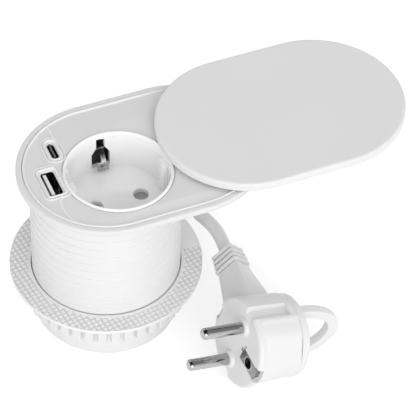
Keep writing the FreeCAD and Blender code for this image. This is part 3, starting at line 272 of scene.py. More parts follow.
def smooth_line(points: Points) -> Points:
    """Rounds an open line's corners: three times over, points at a quarter and three quarters of each run.

    Args:
        points: the line's corners, as points x 2.

    Returns:
        The rounded line, with its two ends kept.
    """
    line = np.asarray(points, float)
    for _ in range(3):
        near = 0.75 * line[:-1] + 0.25 * line[1:]
        far = 0.25 * line[:-1] + 0.75 * line[1:]
        line = np.concatenate([line[:1], np.stack([near, far], 1).reshape(-1, line.shape[1]), line[-1:]])
    return line


def rounded_box_section(half_u: float, half_v: float, corner: float, steps: int = 5) -> Points:
    """The outline of a rectangle with rounded corners.

    Args:
        half_u: half its width.
        half_v: half its height.
        corner: rounding of the corners.
        steps: points on each corner.

    Returns:
        Array of points x 2.
    """
    quarter = np.linspace(0, math.pi / 2, steps)
    u, v = half_u - corner, half_v - corner
    arcs = []
    for centre_u, centre_v, start in ((u, v, 0.0), (-u, v, 0.5), (-u, -v, 1.0), (u, -v, 1.5)):
        turn = quarter + start * math.pi
        arcs.append(np.stack([centre_u + corner * np.cos(turn), centre_v + corner * np.sin(turn)], -1))
    return np.concatenate(arcs)


def box_object(name: str, low: Sequence[float], high: Sequence[float],
               corner: float = 0.1) -> bpy.types.Object:
    """An upright box with rounded vertical corners, used for cutting and for small parts.

    Args:
        name: name of the object.
        low: lowest corner in millimetres.
        high: highest corner in millimetres.
        corner: rounding of the vertical corners.

    Returns:
        The linked object.
    """
    low_corner, high_corner = np.asarray(low, float), np.asarray(high, float)
    half = (high_corner - low_corner) / 2
    outline = rounded_box_section(half[0], half[1], corner, 4) + (low_corner + half)[:2]
    rows = [np.column_stack([outline, np.full(len(outline), z)]) for z in (low_corner[2], high_corner[2])]
    return grid_object(name, np.stack(rows), capped=True)


def swept(name: str, line: Points, section: Points, closed: bool = False) -> bpy.types.Object:
    """Carries a section along a line: point = line + u * section_u + v * section_v.

    Args:
        name: name of the object.
        line: rows x 3 x 3, each row the line's point, its sideways axis and its upward axis.
        section: columns x 2, the section's outline.
        closed: joins the line's end to its start.

    Returns:
        The linked object.
    """
    place, side, up = (line[:, None, axis] for axis in range(3))
    points = place + section[None, :, :1] * side + section[None, :, 1:] * up
    return grid_object(name, points, wrap_rows=closed, capped=not closed)


def filled_plate(name: str, loops: Sequence[Points], low: float, high: float,
                 round_edge: float) -> bpy.types.Object:
    """A flat plate with holes: each loop is a closed outline, filled and given a thickness and rounded edges.

    Args:
        name: name of the object.
        loops: outlines in millimetres, the outer one first.
        low: height of the lower face.
        high: height of the upper face.
        round_edge: rounding of the edges.

    Returns:
        The linked mesh object.
    """
    curve = bpy.data.curves.new(name, "CURVE")
    curve.dimensions = "2D"
    curve.fill_mode = "BOTH"
    curve.extrude = ((high - low) / 2 - round_edge) * MM
    curve.bevel_depth = round_edge * MM
    curve.bevel_resolution = 2
    curve.offset = -round_edge * MM
    for loop in loops:
        spline = curve.splines.new("POLY")
        spline.points.add(len(loop) - 1)
        flat = np.column_stack([loop * MM, np.zeros(len(loop)), np.ones(len(loop))])
        spline.points.foreach_set("co", flat.ravel())
        spline.use_cyclic_u = True
    holder = linked(name, curve)
    mesh = evaluated(holder)
    bpy.data.objects.remove(holder)
    mesh.transform(Matrix.Translation((0, 0, (low + high) / 2 * MM)))
    return finish_mesh(name, mesh)


def carve(obj: bpy.types.Object, cutters: Sequence[bpy.types.Object], joined: bool = False) -> None:
    """Cuts solids out of a piece, or joins them to it, and keeps only the resulting mesh.

    Args:
        obj: the piece.
        cutters: the solids, which are removed afterwards.
        joined: joins them instead of cutting.
    """
    for cutter in cutters:
        cut = obj.modifiers.new("carve", "BOOLEAN")
        cut.operation = "UNION" if joined else "DIFFERENCE"
        cut.solver = "EXACT"
        cut.object = cutter
    mesh = evaluated(obj)
    obj.modifiers.clear()
    obj.data = mesh
    shade(mesh)
    for cutter in cutters:
        bpy.data.objects.remove(cutter)


def refined_copy(node: str, name: str, width: float) -> bpy.types.Object:
    """A welded copy of a CAD node with its flat faces whole and its edges bevelled; it stands for the node.

    Args:
        node: the CAD node.
        name: name of the copy.
        width: width of the bevel in millimetres.

    Returns:
        The linked object.
    """
    mesh = CAD_NODES[node].data.copy()
    mesh.materials.clear()
    work = bmesh.new()
    work.from_mesh(mesh)
    bmesh.ops.remove_doubles(work, verts=work.verts, dist=1e-6)
    bmesh.ops.dissolve_limit(work, angle_limit=math.radians(0.6), verts=work.verts, edges=work.edges)
    work.to_mesh(mesh)
    work.free()
    shade(mesh)
    copy = linked(name, mesh)
    bevel = copy.modifiers.new("rounded_edges", "BEVEL")
    bevel.width = width * MM
    bevel.segments = 2
    bevel.limit_method = "ANGLE"
    bevel.angle_limit = math.radians(35)
    bevel.harden_normals = True
    bevel.use_clamp_overlap = True
    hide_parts(node)
    return copy


# Finishes

Value = float | tuple[float, ...] | bpy.types.NodeSocket
COAT_ROUGHNESS = 0.12
SOFT_REACH: Triple = (0.002, 0.002, 0.0018)
UNEVEN = 0.05


def feed(tree: bpy.types.NodeTree, node: bpy.types.Node, inputs: dict[str | int, Value]) -> None:
    """Gives a node's inputs their values, or links them where the value is another node's output.

    Args:
        tree: the tree that the node is in.
        node: the node.
        inputs: value or output for each input, by name or number.
    """
    for name, value in inputs.items():
        if isinstance(value, bpy.types.NodeSocket):
            tree.links.new(value, node.inputs[name])
        else:
            node.inputs[name].default_value = value


def add_node(tree: bpy.types.NodeTree, kind: str, inputs: dict[str | int, Value] | None = None,
             **settings: object) -> bpy.types.Node:
    """Adds a shader node.

    Args:
        tree: the tree of the material, the world or the group.
        kind: the node's kind, without its prefix.
        inputs: value or output for each input, by name or number.
        **settings: the node's own settings, such as its operation.

    Returns:
        The new node.
    """
    node = tree.nodes.new("ShaderNode" + kind)
    for name, value in settings.items():
        setattr(node, name, value)
    feed(tree, node, inputs or {})
    return node


def grey(level: float) -> tuple[float, float, float, float]:
    """A plain grey as a node's colour."""
    return level, level, level, 1.0


class Effects:
    """Node groups that several finishes share, each built once."""

    @staticmethod
    def group(name: str, inputs: dict[str, float | tuple[float, ...]],
              outputs: Sequence[str]) -> tuple[bpy.types.NodeTree, bpy.types.Node, bpy.types.Node]:
        """Starts a group.

        Args:
            name: name of the group.
            inputs: named inputs with their starting values; a tuple makes a colour.
            outputs: named outputs; the word Colour makes a colour, any other a number.

        Returns:
            The group, its input node and its output node.
        """
        tree = bpy.data.node_groups.new(name, "ShaderNodeTree")
        for socket, value in inputs.items():
            kind = "NodeSocketColor" if isinstance(value, tuple) else "NodeSocketFloat"
            tree.interface.new_socket(socket, in_out="INPUT", socket_type=kind).default_value = value
        for socket in outputs:
            kind = "NodeSocketColor" if socket == "Colour" else "NodeSocketFloat"
            tree.interface.new_socket(socket, in_out="OUTPUT", socket_type=kind)
        return tree, tree.nodes.new("NodeGroupInput"), tree.nodes.new("NodeGroupOutput")

    @staticmethod
    @cache
    def grain() -> bpy.types.NodeTree:
        """Fine moulded grain: noise at Grain size gives a height, and slow noise gives a tone.

        Returns:
            The group, with outputs Height and Tone.
        """
        tree, enter, leave = Effects.group("moulded_grain", {"Grain": 2500.0, "Drift": 25.0},
                                           ("Height", "Tone"))
        spot = add_node(tree, "TexCoord").outputs["Object"]
        for source, target, detail in (("Grain", "Height", 2.0), ("Drift", "Tone", 4.0)):
            noise = add_node(tree, "TexNoise", {"Detail": detail, "Vector": spot,
                                                "Scale": enter.outputs[source]})
            feed(tree, leave, {target: noise.outputs["Fac"]})
        return tree

    @staticmethod
    @cache
    def drawn_lines() -> bpy.types.NodeTree:
        """Fine drawn lines along Z: noise stretched along the line direction.

        Returns:
            The group, with the output Lines.
        """
        tree, enter, leave = Effects.group("drawn_lines", {"Density": 3000.0}, ("Lines",))
        spot = add_node(tree, "TexCoord").outputs["Object"]
        stretch = add_node(tree, "VectorMath", {0: spot, 1: (1.0, 1.0, 0.03)}, operation="MULTIPLY")
        noise = add_node(tree, "TexNoise", {"Vector": stretch.outputs[0], "Scale": enter.outputs["Density"]})
        feed(tree, leave, {"Lines": noise.outputs["Fac"]})
        return tree

    @staticmethod
    @cache
    def painted_groove_shade() -> bpy.types.NodeTree:
        """Painted shade in grooves: the colour goes towards near black by Depth times Strength.

        Returns:
            The group, with the output Colour.
        """
        inputs = {"Colour": grey(1.0), "Depth": 0.0, "Strength": 0.2}
        tree, enter, leave = Effects.group("groove_shade", inputs, ("Colour",))
        share = add_node(tree, "Math", {0: enter.outputs["Depth"], 1: enter.outputs["Strength"]},
                         operation="MULTIPLY")
        shaded = add_node(tree, "Mix", {"Factor": share.outputs[0], "A": enter.outputs["Colour"],
                                        "B": grey(0.05)}, data_type="RGBA")
        feed(tree, leave, {"Colour": shaded.outputs["Result"]})
        return tree


@dataclass(frozen=True)
class Coating:
    """What every finish has: a name, a colour and a roughness, which an effect makes uneven."""

    name: str
    colour: Triple
    roughness: float

    def assemble(self, group: bpy.types.NodeTree, inputs: dict[str, float], tone: str, height: str,
                 tones: Pair, gloss: Pair, bump: Pair, painted_shade: float = 0.0) -> bpy.types.Material:
        """Builds the material: one output of a group mixes two tones and roughnesses, one raises the surface.

        Args:
            group: the effect's group.
            inputs: the group's values.
            tone: the output that mixes.
            height: the output that raises.
            tones: factors of the colour at 0 and at 1.
            gloss: roughness at 0 and at 1.
            bump: strength and height of the relief, in metres.
            painted_shade: how much the piece's painted_shade attribute darkens its grooves, as painted shade.

        Returns:
            The material.
        """
        material = bpy.data.materials.new(self.name)
        material.use_nodes = True
        tree = material.node_tree
        effect = add_node(tree, "Group", node_tree=group)
        feed(tree, effect, inputs)
        drift = effect.outputs[tone]
        low, high = ((*[min(c * factor, 1.0) for c in self.colour], 1.0) for factor in tones)
        mix = add_node(tree, "Mix", {"Factor": drift, "A": low, "B": high}, data_type="RGBA")
        colour = mix.outputs["Result"]
        # painted shade: the point attribute darkens the colour in the piece's grooves
        if painted_shade:
            depth = add_node(tree, "Attribute", attribute_name="painted_shade").outputs["Fac"]
            groove = add_node(tree, "Group", node_tree=Effects.painted_groove_shade())
            feed(tree, groove, {"Colour": colour, "Depth": depth, "Strength": painted_shade})
            colour = groove.outputs["Colour"]
        rough = add_node(tree, "MapRange", {"Value": drift, "To Min": gloss[0], "To Max": gloss[1]})
        relief = add_node(tree, "Bump", {"Height": effect.outputs[height], "Strength": bump[0],
                                         "Distance": bump[1]})
        feed(tree, tree.nodes["Principled BSDF"], {"Base Color": colour, "Roughness": rough.outputs["Result"],
                                                   "Normal": relief.outputs["Normal"]})
        return material


@dataclass(frozen=True)
class Plastic(Coating):
    """A moulded plastic: a base colour that drifts a little, a fine grain and a soft gloss."""

    roughness: float = 0.42
    grain: float = 2500.0
    relief: float = 0.00004
    drift: float = 0.03
    coat: float = 0.0
    soft: float = 0.0
    # strength of the painted shade in grooves; 0 for none
    painted_shade: float = 0.0

    @cache
    def material(self) -> bpy.types.Material:
        """Builds the finish once, with the grain group.

        Returns:
            The material.
        """
        material = self.assemble(
            Effects.grain(), {"Grain": self.grain}, "Tone", "Height", (1 - self.drift, 1 + self.drift),
            (self.roughness - UNEVEN, self.roughness + UNEVEN), (0.35, self.relief), self.painted_shade)
        tree = material.node_tree
        feed(tree, tree.nodes["Principled BSDF"], {
            "Coat Weight": self.coat, "Coat Roughness": COAT_ROUGHNESS,
            "Subsurface Weight": self.soft, "Subsurface Radius": SOFT_REACH})
        return material


@dataclass(frozen=True)
class Metal(Coating):
    """A plated or bare metal with fine drawn lines in its gloss."""

    roughness: float = 0.22
    density: float = 3000.0
    mottle: float = 0.1

    @cache
    def material(self) -> bpy.types.Material:
        """Builds the finish once, with the drawn-lines group.

        Returns:
            The material.
        """
        material = self.assemble(
            Effects.drawn_lines(), {"Density": self.density}, "Lines", "Lines", (1 - self.mottle, 1.0),
            (self.roughness * 0.75, self.roughness * 1.3), (0.2, 0.00002))
        material.node_tree.nodes["Principled BSDF"].inputs["Metallic"].default_value = 1.0
        return material


class Finish(Enum):
    """Every finish of the part."""

    SATIN_WHITE = Plastic("satin_white", (0.78, 0.78, 0.78))
    # the ridge, body and knurl whites darken their grooves with painted shade
    RIDGE_WHITE = Plastic("ridge_white", (0.86, 0.86, 0.86), 0.36, painted_shade=0.20)
    GLOSS_WHITE = Plastic("gloss_white", (0.98, 0.98, 0.98), 0.14, relief=0.00001, coat=0.4, soft=0.35)
    LID_WHITE = Plastic("lid_white", (0.81, 0.81, 0.81), 0.30, relief=0.00002, drift=0.015)
    BODY_WHITE = Plastic("body_white", (0.82, 0.82, 0.82), 0.38, relief=0.00003, painted_shade=0.12)
    KNURL_WHITE = Plastic("knurl_white", (0.88, 0.88, 0.88), 0.45, relief=0.00003, painted_shade=0.24)
    PLUG_WHITE = Plastic("plug_white", (0.80, 0.80, 0.80), 0.30, relief=0.00003)
    CORD_WHITE = Plastic("cord_sheath_white", (0.84, 0.84, 0.835), relief=0.00006)
    STRAP_BLACK = Plastic("strap_black", (0.02, 0.02, 0.022), 0.85, grain=6000.0, relief=0.0004)
    INNER_GREY = Plastic("inner_matt_grey", (0.10, 0.105, 0.11), 0.5)
    SHUTTER_GREY = Plastic("shutter_grey", (0.36, 0.365, 0.37), 0.45)
    PORT_BLACK = Plastic("port_black", (0.012, 0.012, 0.013), 0.4)
    PORT_GREY = Plastic("port_grey", (0.16, 0.16, 0.165), 0.4)
    PORT_WHITE = Plastic("port_white", (0.86, 0.86, 0.85), 0.4)
    BOARD_GREEN = Plastic("board_green", (0.02, 0.12, 0.06), 0.3, coat=0.5)
    WIRE_BROWN = Plastic("wire_brown", (0.16, 0.07, 0.03), 0.4)
    STEEL = Metal("plated_steel", (0.50, 0.50, 0.51), 0.24)
    CLIP_STEEL = Metal("clip_steel", (0.80, 0.80, 0.81), 0.16, 1100.0, 0.7)
    # painted shade: the USB shells are near black so that the ports' openings read dark
    SHELL_PAINTED_DARK = Metal("shell_steel_painted_shade", (0.10, 0.10, 0.105), 0.35)
    BRASS = Metal("bare_brass", (0.72, 0.54, 0.25), 0.25)
    NICKEL = Metal("polished_nickel", (0.50, 0.50, 0.51), 0.07, 1500.0)
    PLATE_NICKEL = Metal("plate_nickel", (0.42, 0.42, 0.43), 0.3, 900.0, 0.6)
    CAN = Metal("sleeved_can", (0.55, 0.55, 0.58), 0.35)


def place(obj: bpy.types.Object, body: Body, finish: Finish, slot: str, *nodes: str) -> bpy.types.Object:
    """Gives a finished piece its material and its body, and hides the CAD nodes it stands for.

    Args:
        obj: the piece.
        body: the rigid body it rides on.
        finish: its finish.
        slot: the record's material slot; not used.
        *nodes: the CAD nodes that it replaces.

    Returns:
        The piece.
    """
    obj.data.materials.clear()
    obj.data.materials.append(finish.value.material())
    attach(obj, body.value)
    if nodes:
        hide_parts(*nodes)
    log.info("%s on %s in %s", obj.name, body.value, finish.value.name)
    return obj


# The part


@dataclass
class Bezel:
    """The long oval bezel with its flat band, its two recessed inserts and their beads."""

    radius: float = 35.0
    half_run: float = 15.0
    seat: float = 75.6
    band_top: float = 78.1
    pocket: float = 32.6
    floor_ledge: float = 1.5
    floor_drop: float = 0.2
    columns: int = 192
    insert_radius: float = 32.45
    insert_low: float = 76.5
    insert_top: float = 77.7
    insert_round: float = 0.12
    insert_columns: int = 720
    bead_top: float = 78.4
    bead_width: float = 1.1
    socket: Pair = (3.7, -4.0)
    rim_radius: float = 21.95
    rim_points: int = 72
    cup_hole: float = 21.5
    seam_gap: float = 0.12
    seam_ridge: float = 0.55
    back_seam: tuple[Pair, ...] = ((-13.6, 28.6), (-13.6, 15.0), (-14.1, 12.6), (-14.3, 11.6))
    front_seam: tuple[Pair, ...] = (
        (-20.2, -24.6), (-21.1, -23.4), (-22.1, -21.0), (-22.8, -18.0), (-23.1, -14.6), (-23.05, -12.0),
        (-22.5, -9.9), (-21.4, -8.4), (-19.6, -7.3), (-18.0, -6.6))
    port_a: tuple[float, float, float, float] = (-22.5, -0.6, 5.12, 12.5)
    port_c: tuple[float, float, float, float] = (-16.1, 15.7, 2.56, 8.34)
    port_gap: float = 0.4
    # rows: distance from the opening, height, and painted shade in a groove
    surround: tuple[Triple, ...] = (
        (0.0, 76.6, 0), (0.05, 76.95, 0), (0.55, 77.6, 0), (0.9, 78.1, 0), (1.1, 78.3, 0), (1.3, 78.36, 0),
        (1.5, 78.3, 0), (1.62, 78.1, 0.3), (1.72, 77.85, 1), (1.95, 77.72, 1), (2.15, 77.75, 0.6),
        (2.3, 77.95, 0), (2.45, 78.1, 0), (2.65, 78.1, 0), (2.8, 77.95, 0), (2.9, 77.6, 0.6), (2.9, 77.3, 1))
    crest_reach: float = 1.5

    def edge_arc(self, start: Points, stop: Points) -> Points:
        """Points along the inserts' outer oval between the places on it that lie nearest to two points.

        Args:
            start: first place.
            stop: last place, clockwise from the first as seen from above.

        Returns:
            Points x 2, in order.
        """
        count = self.insert_columns
        ring = oval_outline(np.array([self.insert_radius]), self.half_run, self.half_run, count)[0]
        first, last = (int(np.argmin(np.linalg.norm(ring - spot, axis=1))) for spot in (start, stop))
        return ring[(first - np.arange((first - last) % count + 1)) % count]

    def rim_arc(self, start: Points, stop: Points) -> Points:
        """Points along the circle round the cup between two directions, anticlockwise as seen from above.

        Args:
            start: a point in the first direction.
            stop: a point in the last direction.

        Returns:
            Points x 2, in order.
        """
        centre = np.array(self.socket)
        first, last = (math.atan2(*(spot - centre)[::-1]) for spot in (start, stop))
        turn = first + np.linspace(0, (last - first) % FULL_TURN, self.rim_points)
        return centre + self.rim_radius * np.stack([np.cos(turn), np.sin(turn)], -1)

    def insert_outline(self, first: Points, second: Points) -> Points:
        """An insert's outline: its outer edge, the one seam, the cup's rim and the other seam.

        Args:
            first: the seam where the outer edge starts, from the edge to the rim.
            second: the seam where the outer edge ends, from the edge to the rim.

        Returns:
            The closed outline, points x 2.
        """
        rim = self.rim_arc(second[-1], first[-1])
        return np.concatenate([self.edge_arc(first[0], second[0]), second[1:], rim[1:-1], first[:0:-1]])

    def build_rim(self) -> None:
        """The band, rounded outside, with its pocket wall and underside, and the floor below the inserts."""
        floor_top = self.insert_low - self.floor_drop
        ledge = self.pocket - self.floor_ledge
        ring = rounded([(self.radius, self.seat), (self.radius, self.band_top), (self.pocket, self.band_top),
                        (self.pocket, floor_top), (ledge, floor_top), (ledge, self.seat)],
                       [0.35, 1.0, 0.25, 0, 0, 0], 7)
        rim = oval_solid("bezel_rim", ring, self.half_run, self.half_run, self.columns)
        place(rim, Body.HOUSING, Finish.SATIN_WHITE, "white_satin", "bezel_frame")
        inner = oval_outline(np.array([self.pocket - 1.0]), self.half_run, self.half_run, self.columns)[0]
        turn = np.arctan2(inner[:, 1] - self.socket[1], inner[:, 0] - self.socket[0])
        hole = np.array(self.socket) + self.cup_hole * np.stack([np.cos(turn), np.sin(turn)], -1)
        rows = [np.column_stack([loop, np.full(self.columns, z)]) for loop, z in
                ((inner, self.seat), (hole, self.seat), (hole, self.insert_low), (inner, self.insert_low))]
        floor = grid_object("bezel_floor", np.stack(rows), wrap_rows=True)
        gap = self.port_gap
        carve(floor, [box_object("port_hole", (x - w / 2 - gap, y - h / 2 - gap, self.seat - 1),
                                 (x + w / 2 + gap, y + h / 2 + gap, self.insert_low + 1), 0.3)
                      for x, y, w, h in (self.port_a, self.port_c)])
        place(floor, Body.HOUSING, Finish.SATIN_WHITE, "white_satin")

    def build_inserts(self) -> None:
        """The two inserts: flat plates cut along the seam, with holes for the cup and the ports."""
        back, front = np.array(self.back_seam), np.array(self.front_seam)
        gap = (self.seam_gap, 0)
        holes = [rounded_box_section(w / 2 + self.port_gap, h / 2 + self.port_gap, r, 6) + (x, y)
                 for (x, y, w, h), r in ((self.port_a, 0.5), (self.port_c, 1.6))]
        wide, narrow = self.insert_outline(back + gap, front + gap), self.insert_outline(front, back)
        for name, node, loops in (("socket_insert", "socket_panel", [wide]),
                                  ("usb_insert", "usb_panel", [narrow, *holes])):
            plate = filled_plate(name, loops, self.insert_low, self.insert_top, self.insert_round)
            place(plate, Body.HOUSING, Finish.SATIN_WHITE, "white_satin", node)

    def build_beads(self) -> None:
        """The raised bead round the inserts and the fine ridges along the seam between them."""
        half = self.bead_width / 2
        middle = self.insert_radius - half
        root, foot = self.insert_top - 0.1, self.insert_top - 0.3
        turn = np.linspace(0, math.pi, 9)
        arch = [(middle + half * c, root + (self.bead_top - root) * s)
                for c, s in zip(np.cos(turn), np.sin(turn) ** 0.7)]
        bead = oval_solid("edge_bead", [*arch, (middle - half, foot), (middle + half, foot)],
                          self.half_run, self.half_run)
        place(bead, Body.HOUSING, Finish.RIDGE_WHITE, "white_satin")
        arc = np.linspace(0, math.pi, 7)
        section = self.seam_ridge * np.stack([np.cos(arc), np.sin(arc)], -1)
        for name, seam in (("seam_ridge_back", self.back_seam), ("seam_ridge_front", self.front_seam[::-1])):
            flat = smooth_line(np.array(seam))
            line = np.column_stack([flat, np.full(len(flat), root)])
            ahead = np.gradient(line, axis=0)
            ahead /= np.linalg.norm(ahead, axis=1, keepdims=True)
            up = np.tile([0.0, 0.0, 1.0], (len(line), 1))
            ridge = swept(name, np.stack([line, np.cross(ahead, up), up], 1), section)
            place(ridge, Body.HOUSING, Finish.RIDGE_WHITE, "white_satin")

    def build_surrounds(self) -> None:
        """The ports' surrounds: a funnel down to the opening, a rounded crest and a fine outer ridge.

        Each row of the section has its distance from the opening, its height and how much painted shade it
        gets, which darkens the trough inside the outer ridge and the foot of the outer wall.
        """
        reach, height, depth = np.array(self.surround, float).T
        places = (("usb_a_surround", self.port_a, 0.5, 1.5), ("usb_c_surround", self.port_c, 1.27, 2.2))
        for name, (x, y, w, h), inner, outer in places:
            rows = []
            for out, z in zip(reach, height):
                past = out - self.crest_reach
                corner = inner + (outer - inner) * min(out / self.crest_reach, 1.0) + max(past, 0.0)
                corner = min(corner, w / 2 + out - 0.02)
                outline = rounded_box_section(w / 2 + out, h / 2 + out, corner, 8) + (x, y)
                rows.append(np.column_stack([outline, np.full(len(outline), z)]))
            # painted shade from the section's third column
            painted_shade = np.broadcast_to(depth[:, None], (len(depth), len(rows[0])))
            ring = grid_object(name, np.stack(rows), wrap_rows=True, painted_shade=painted_shade)
            place(ring, Body.HOUSING, Finish.RIDGE_WHITE, "white_satin")

    def build(self) -> None:
        """Builds the whole bezel."""
        self.build_rim()
        self.build_inserts()
        self.build_beads()
        self.build_surrounds()


@dataclass
class Cup:
    """The earthed socket's cup with its rounded rim, guide ribs, clip windows and pin holes."""

    centre: Pair = (3.7, -4.0)
    floor: float = 61.5
    bottom: float = 59.3
    rim_top: float = 78.5
    insert_top: float = 77.7
    inner: float = 19.6
    wall: float = 21.4
    rim_outer: float = 21.75
    crest: float = 21.0
    crest_half: float = 0.2
    mouth: float = 20.3
    mouth_depth: float = 3.4
    guide_offset: float = 18.9
    guide_half: Pair = (1.25, 2.6)
    guide_top: float = 75.6
    pin_offset: float = 9.5
    pin_hole: float = 3.0
    pin_chamfer: float = 0.4
    window_foot: float = 3.8
    window_neck: float = 1.75
    window_levels: tuple[float, float, float, float] = (0.6, 7.6, 10.6, 14.9)
    window_reach: Pair = (17.0, 26.0)
    finger: Pair = (-0.45, 1.45)
    finger_low: float = 4.8
    finger_high: float = 9.3
    clip_half: float = 3.0
    clip_reach: Pair = (14.0, 21.2)
    # the black trough behind the back window, put there as painted shade
    pocket_half: float = 4.9
    pocket_wall: float = 0.4
    pocket_reach: Pair = (21.8, 24.6)
    pocket_levels: Pair = (60.0, 77.2)

    def window(self, side: int) -> bpy.types.Object:
        """A cutter for one clip window: a wide foot with a narrow neck, carried through the wall.

        Args:
            side: 1 for the window at the back, -1 for the one in front.

        Returns:
            The cutter.
        """
        foot, neck = self.window_foot, self.window_neck
        low, shoulder, throat, high = self.window_levels
        outline = np.array([(-foot, low), (foot, low), (foot, shoulder), (neck, throat), (neck, high),
                            (-neck, high), (-neck, throat), (-foot, shoulder)])
        rows = [np.column_stack([self.centre[0] + outline[:, 0] * side, np.full(8, self.centre[1] + side * y),
                                 self.floor + outline[:, 1]]) for y in self.window_reach]
        return grid_object("window_cutter", np.stack(rows), capped=True)

    def build(self) -> None:
        """Builds the cup as one turned solid with guides joined and windows and holes cut."""
        flange, half = self.insert_top - 0.15, self.crest_half
        profile = rounded([(0.0, self.bottom), (self.wall, self.bottom), (self.wall, flange),
                           (self.rim_outer, flange), (self.rim_outer, self.insert_top + 0.1),
                           (self.crest + half, self.rim_top), (self.crest - half, self.rim_top),
                           (self.mouth, self.insert_top - 0.1),
                           (self.inner + 0.25, self.rim_top - self.mouth_depth),
                           (self.inner, self.floor), (0.0, self.floor)],
                          [0, 0.3, 0, 0, 0.06, 0.18, 0.18, 0.35, 1.2, 1.3, 0], 9)
        cup = turned("socket_cup", profile, self.centre, 160)
        across, along = self.guide_half
        guides, cutters = [], [self.window(-1), self.window(1)]
        for side in (-1, 1):
            x, y = self.centre[0] + side * self.guide_offset, self.centre[1]
            guides.append(box_object("guide", (x - across, y - along, self.floor - 0.4),
                                     (x + across, y + along, self.guide_top), 0.5))
            wide = self.pin_hole + self.pin_chamfer
            cutters.append(turned("pin_hole", [(0.0, self.bottom - 1), (self.pin_hole, self.bottom - 1),
                                               (self.pin_hole, self.floor - 0.3), (wide, self.floor + 0.1),
                                               (wide, self.floor + 1), (0.0, self.floor + 1)],
                                  (self.centre[0] + side * self.pin_offset, y), 48))
        carve(cup, guides, joined=True)
        carve(cup, cutters)
        place(cup, Body.HOUSING, Finish.GLOSS_WHITE, "white_gloss", "socket_cup")
        self.build_window_shade()
        self.build_clips()

    def build_clips(self) -> None:
        """The bracket with its two clips: each leaf is narrowed to a finger between its bend and its contact.

        The faces behind the cup's wall lie in the dark, so they take the black port finish as painted shade.
        """
        clips = refined_copy("earth_bracket", "earth_clips", 0.12)
        cutters = []
        for side in (-1, 1):
            near, far = sorted(self.centre[1] + side * reach for reach in self.clip_reach)
            for left, right in ((-self.clip_half, self.finger[0]), (self.finger[1], self.clip_half)):
                cutters.append(box_object("finger_cutter",
                                          (self.centre[0] + left, near, self.floor + self.finger_low),
                                          (self.centre[0] + right, far, self.floor + self.finger_high), 0.3))
        carve(clips, cutters)
        place(clips, Body.HOUSING, Finish.CLIP_STEEL, "steel")
        clips.data.materials.append(Finish.PORT_BLACK.value.material())
        # painted shade: faces behind the wall take the second, black material
        middle = np.empty(len(clips.data.polygons) * 3)
        clips.data.polygons.foreach_get("center", middle)
        behind = np.abs(middle[1::3] / MM - self.centre[1]) > self.wall + 0.1
        clips.data.polygons.foreach_set("material_index", behind.astype(np.int32))

    def build_window_shade(self) -> None:
        """A black three-sided trough behind the back window, open to the cup: painted shade that keeps the
        window dark.
        """
        wide, thick = self.pocket_half, self.pocket_wall
        near, far = self.pocket_reach
        walls = np.array([(-wide, near), (-wide, far), (wide, far), (wide, near), (wide - thick, near),
                          (wide - thick, far - thick), (thick - wide, far - thick), (thick - wide, near)])
        rows = [np.column_stack([walls + self.centre, np.full(8, z)]) for z in self.pocket_levels]
        pocket = grid_object("window_shade_trough", np.stack(rows), capped=True)
        place(pocket, Body.HOUSING, Finish.PORT_BLACK, "dark_plastic")


@dataclass
class Ports:
    """The two USB ports: drawn shells, tongues, their contacts and the shell's springs."""

    port_a: tuple[float, float, float] = (-22.5, -0.6, 5.12)
    top: float = 78.0
    shell_top: float = 77.0
    tongue_root: float = 67.0
    tongue_face: float = -0.55
    contacts: int = 4
    contact_first: float = -4.0
    contact_pitch: float = 2.33
    contact_width: float = 1.0
    springs: Pair = (-3.7, 1.9)
    spring_line: tuple[Pair, ...] = ((-0.02, 70.0), (-0.7, 74.6), (-0.25, 76.6))
    spring_width: float = 1.8
    spring_thick: float = 0.18

    def build(self) -> None:
        """Refines the shells and tongues and adds the contacts and springs."""
        # the shells take the near-black steel, painted shade for the openings
        for node, finish, slot in (("usb_a_shell", Finish.SHELL_PAINTED_DARK, "steel"),
                                   ("usb_c_shell", Finish.SHELL_PAINTED_DARK, "steel"),
                                   ("usb_a_tongue", Finish.PORT_WHITE, "white_plastic"),
                                   ("usb_c_tongue", Finish.PORT_GREY, "dark_plastic")):
            piece = refined_copy(node, node + "_finished", 0.06)
            if "shell" in node:
                carve(piece, [box_object("shell_end", (-40, -20, self.shell_top), (0, 30, self.top + 2))])
            if node == "usb_a_tongue":
                x, y = self.port_a[0] + self.tongue_face, self.port_a[1]
                carve(piece, [box_object("tongue_side", (x, y - 8, self.tongue_root),
                                         (x + 2, y + 8, self.top + 2))])
            place(piece, Body.HOUSING, finish, slot)
        self.build_contacts()
        self.build_springs()

    def build_contacts(self) -> None:
        """The flat contacts on the wide port's tongue."""
        face = self.port_a[0] + self.tongue_face
        for index in range(self.contacts):
            low_y = self.port_a[1] + self.contact_first + index * self.contact_pitch
            strip = box_object(f"usb_a_contact_{index + 1}", (face - 0.02, low_y, self.tongue_root + 0.2),
                               (face + 0.12, low_y + self.contact_width, self.top - 1.6), 0.05)
            place(strip, Body.HOUSING, Finish.BRASS, "brass")

    def build_springs(self) -> None:
        """The wide port's two leaf springs: a bent line, given a thickness along X and a width along Y."""
        x, y, width = self.port_a
        line = np.array(self.spring_line) + (x + width / 2, 0)
        loop = np.concatenate([line, line[::-1] + (self.spring_thick, 0)])
        for index, low_y in enumerate(self.springs):
            rows = [np.column_stack([loop[:, 0], np.full(len(loop), y + low_y + wide), loop[:, 1]])
                    for wide in (0.0, self.spring_width)]
            spring = grid_object(f"usb_a_spring_{index + 1}", np.stack(rows), capped=True)
            place(spring, Body.HOUSING, Finish.STEEL, "steel")


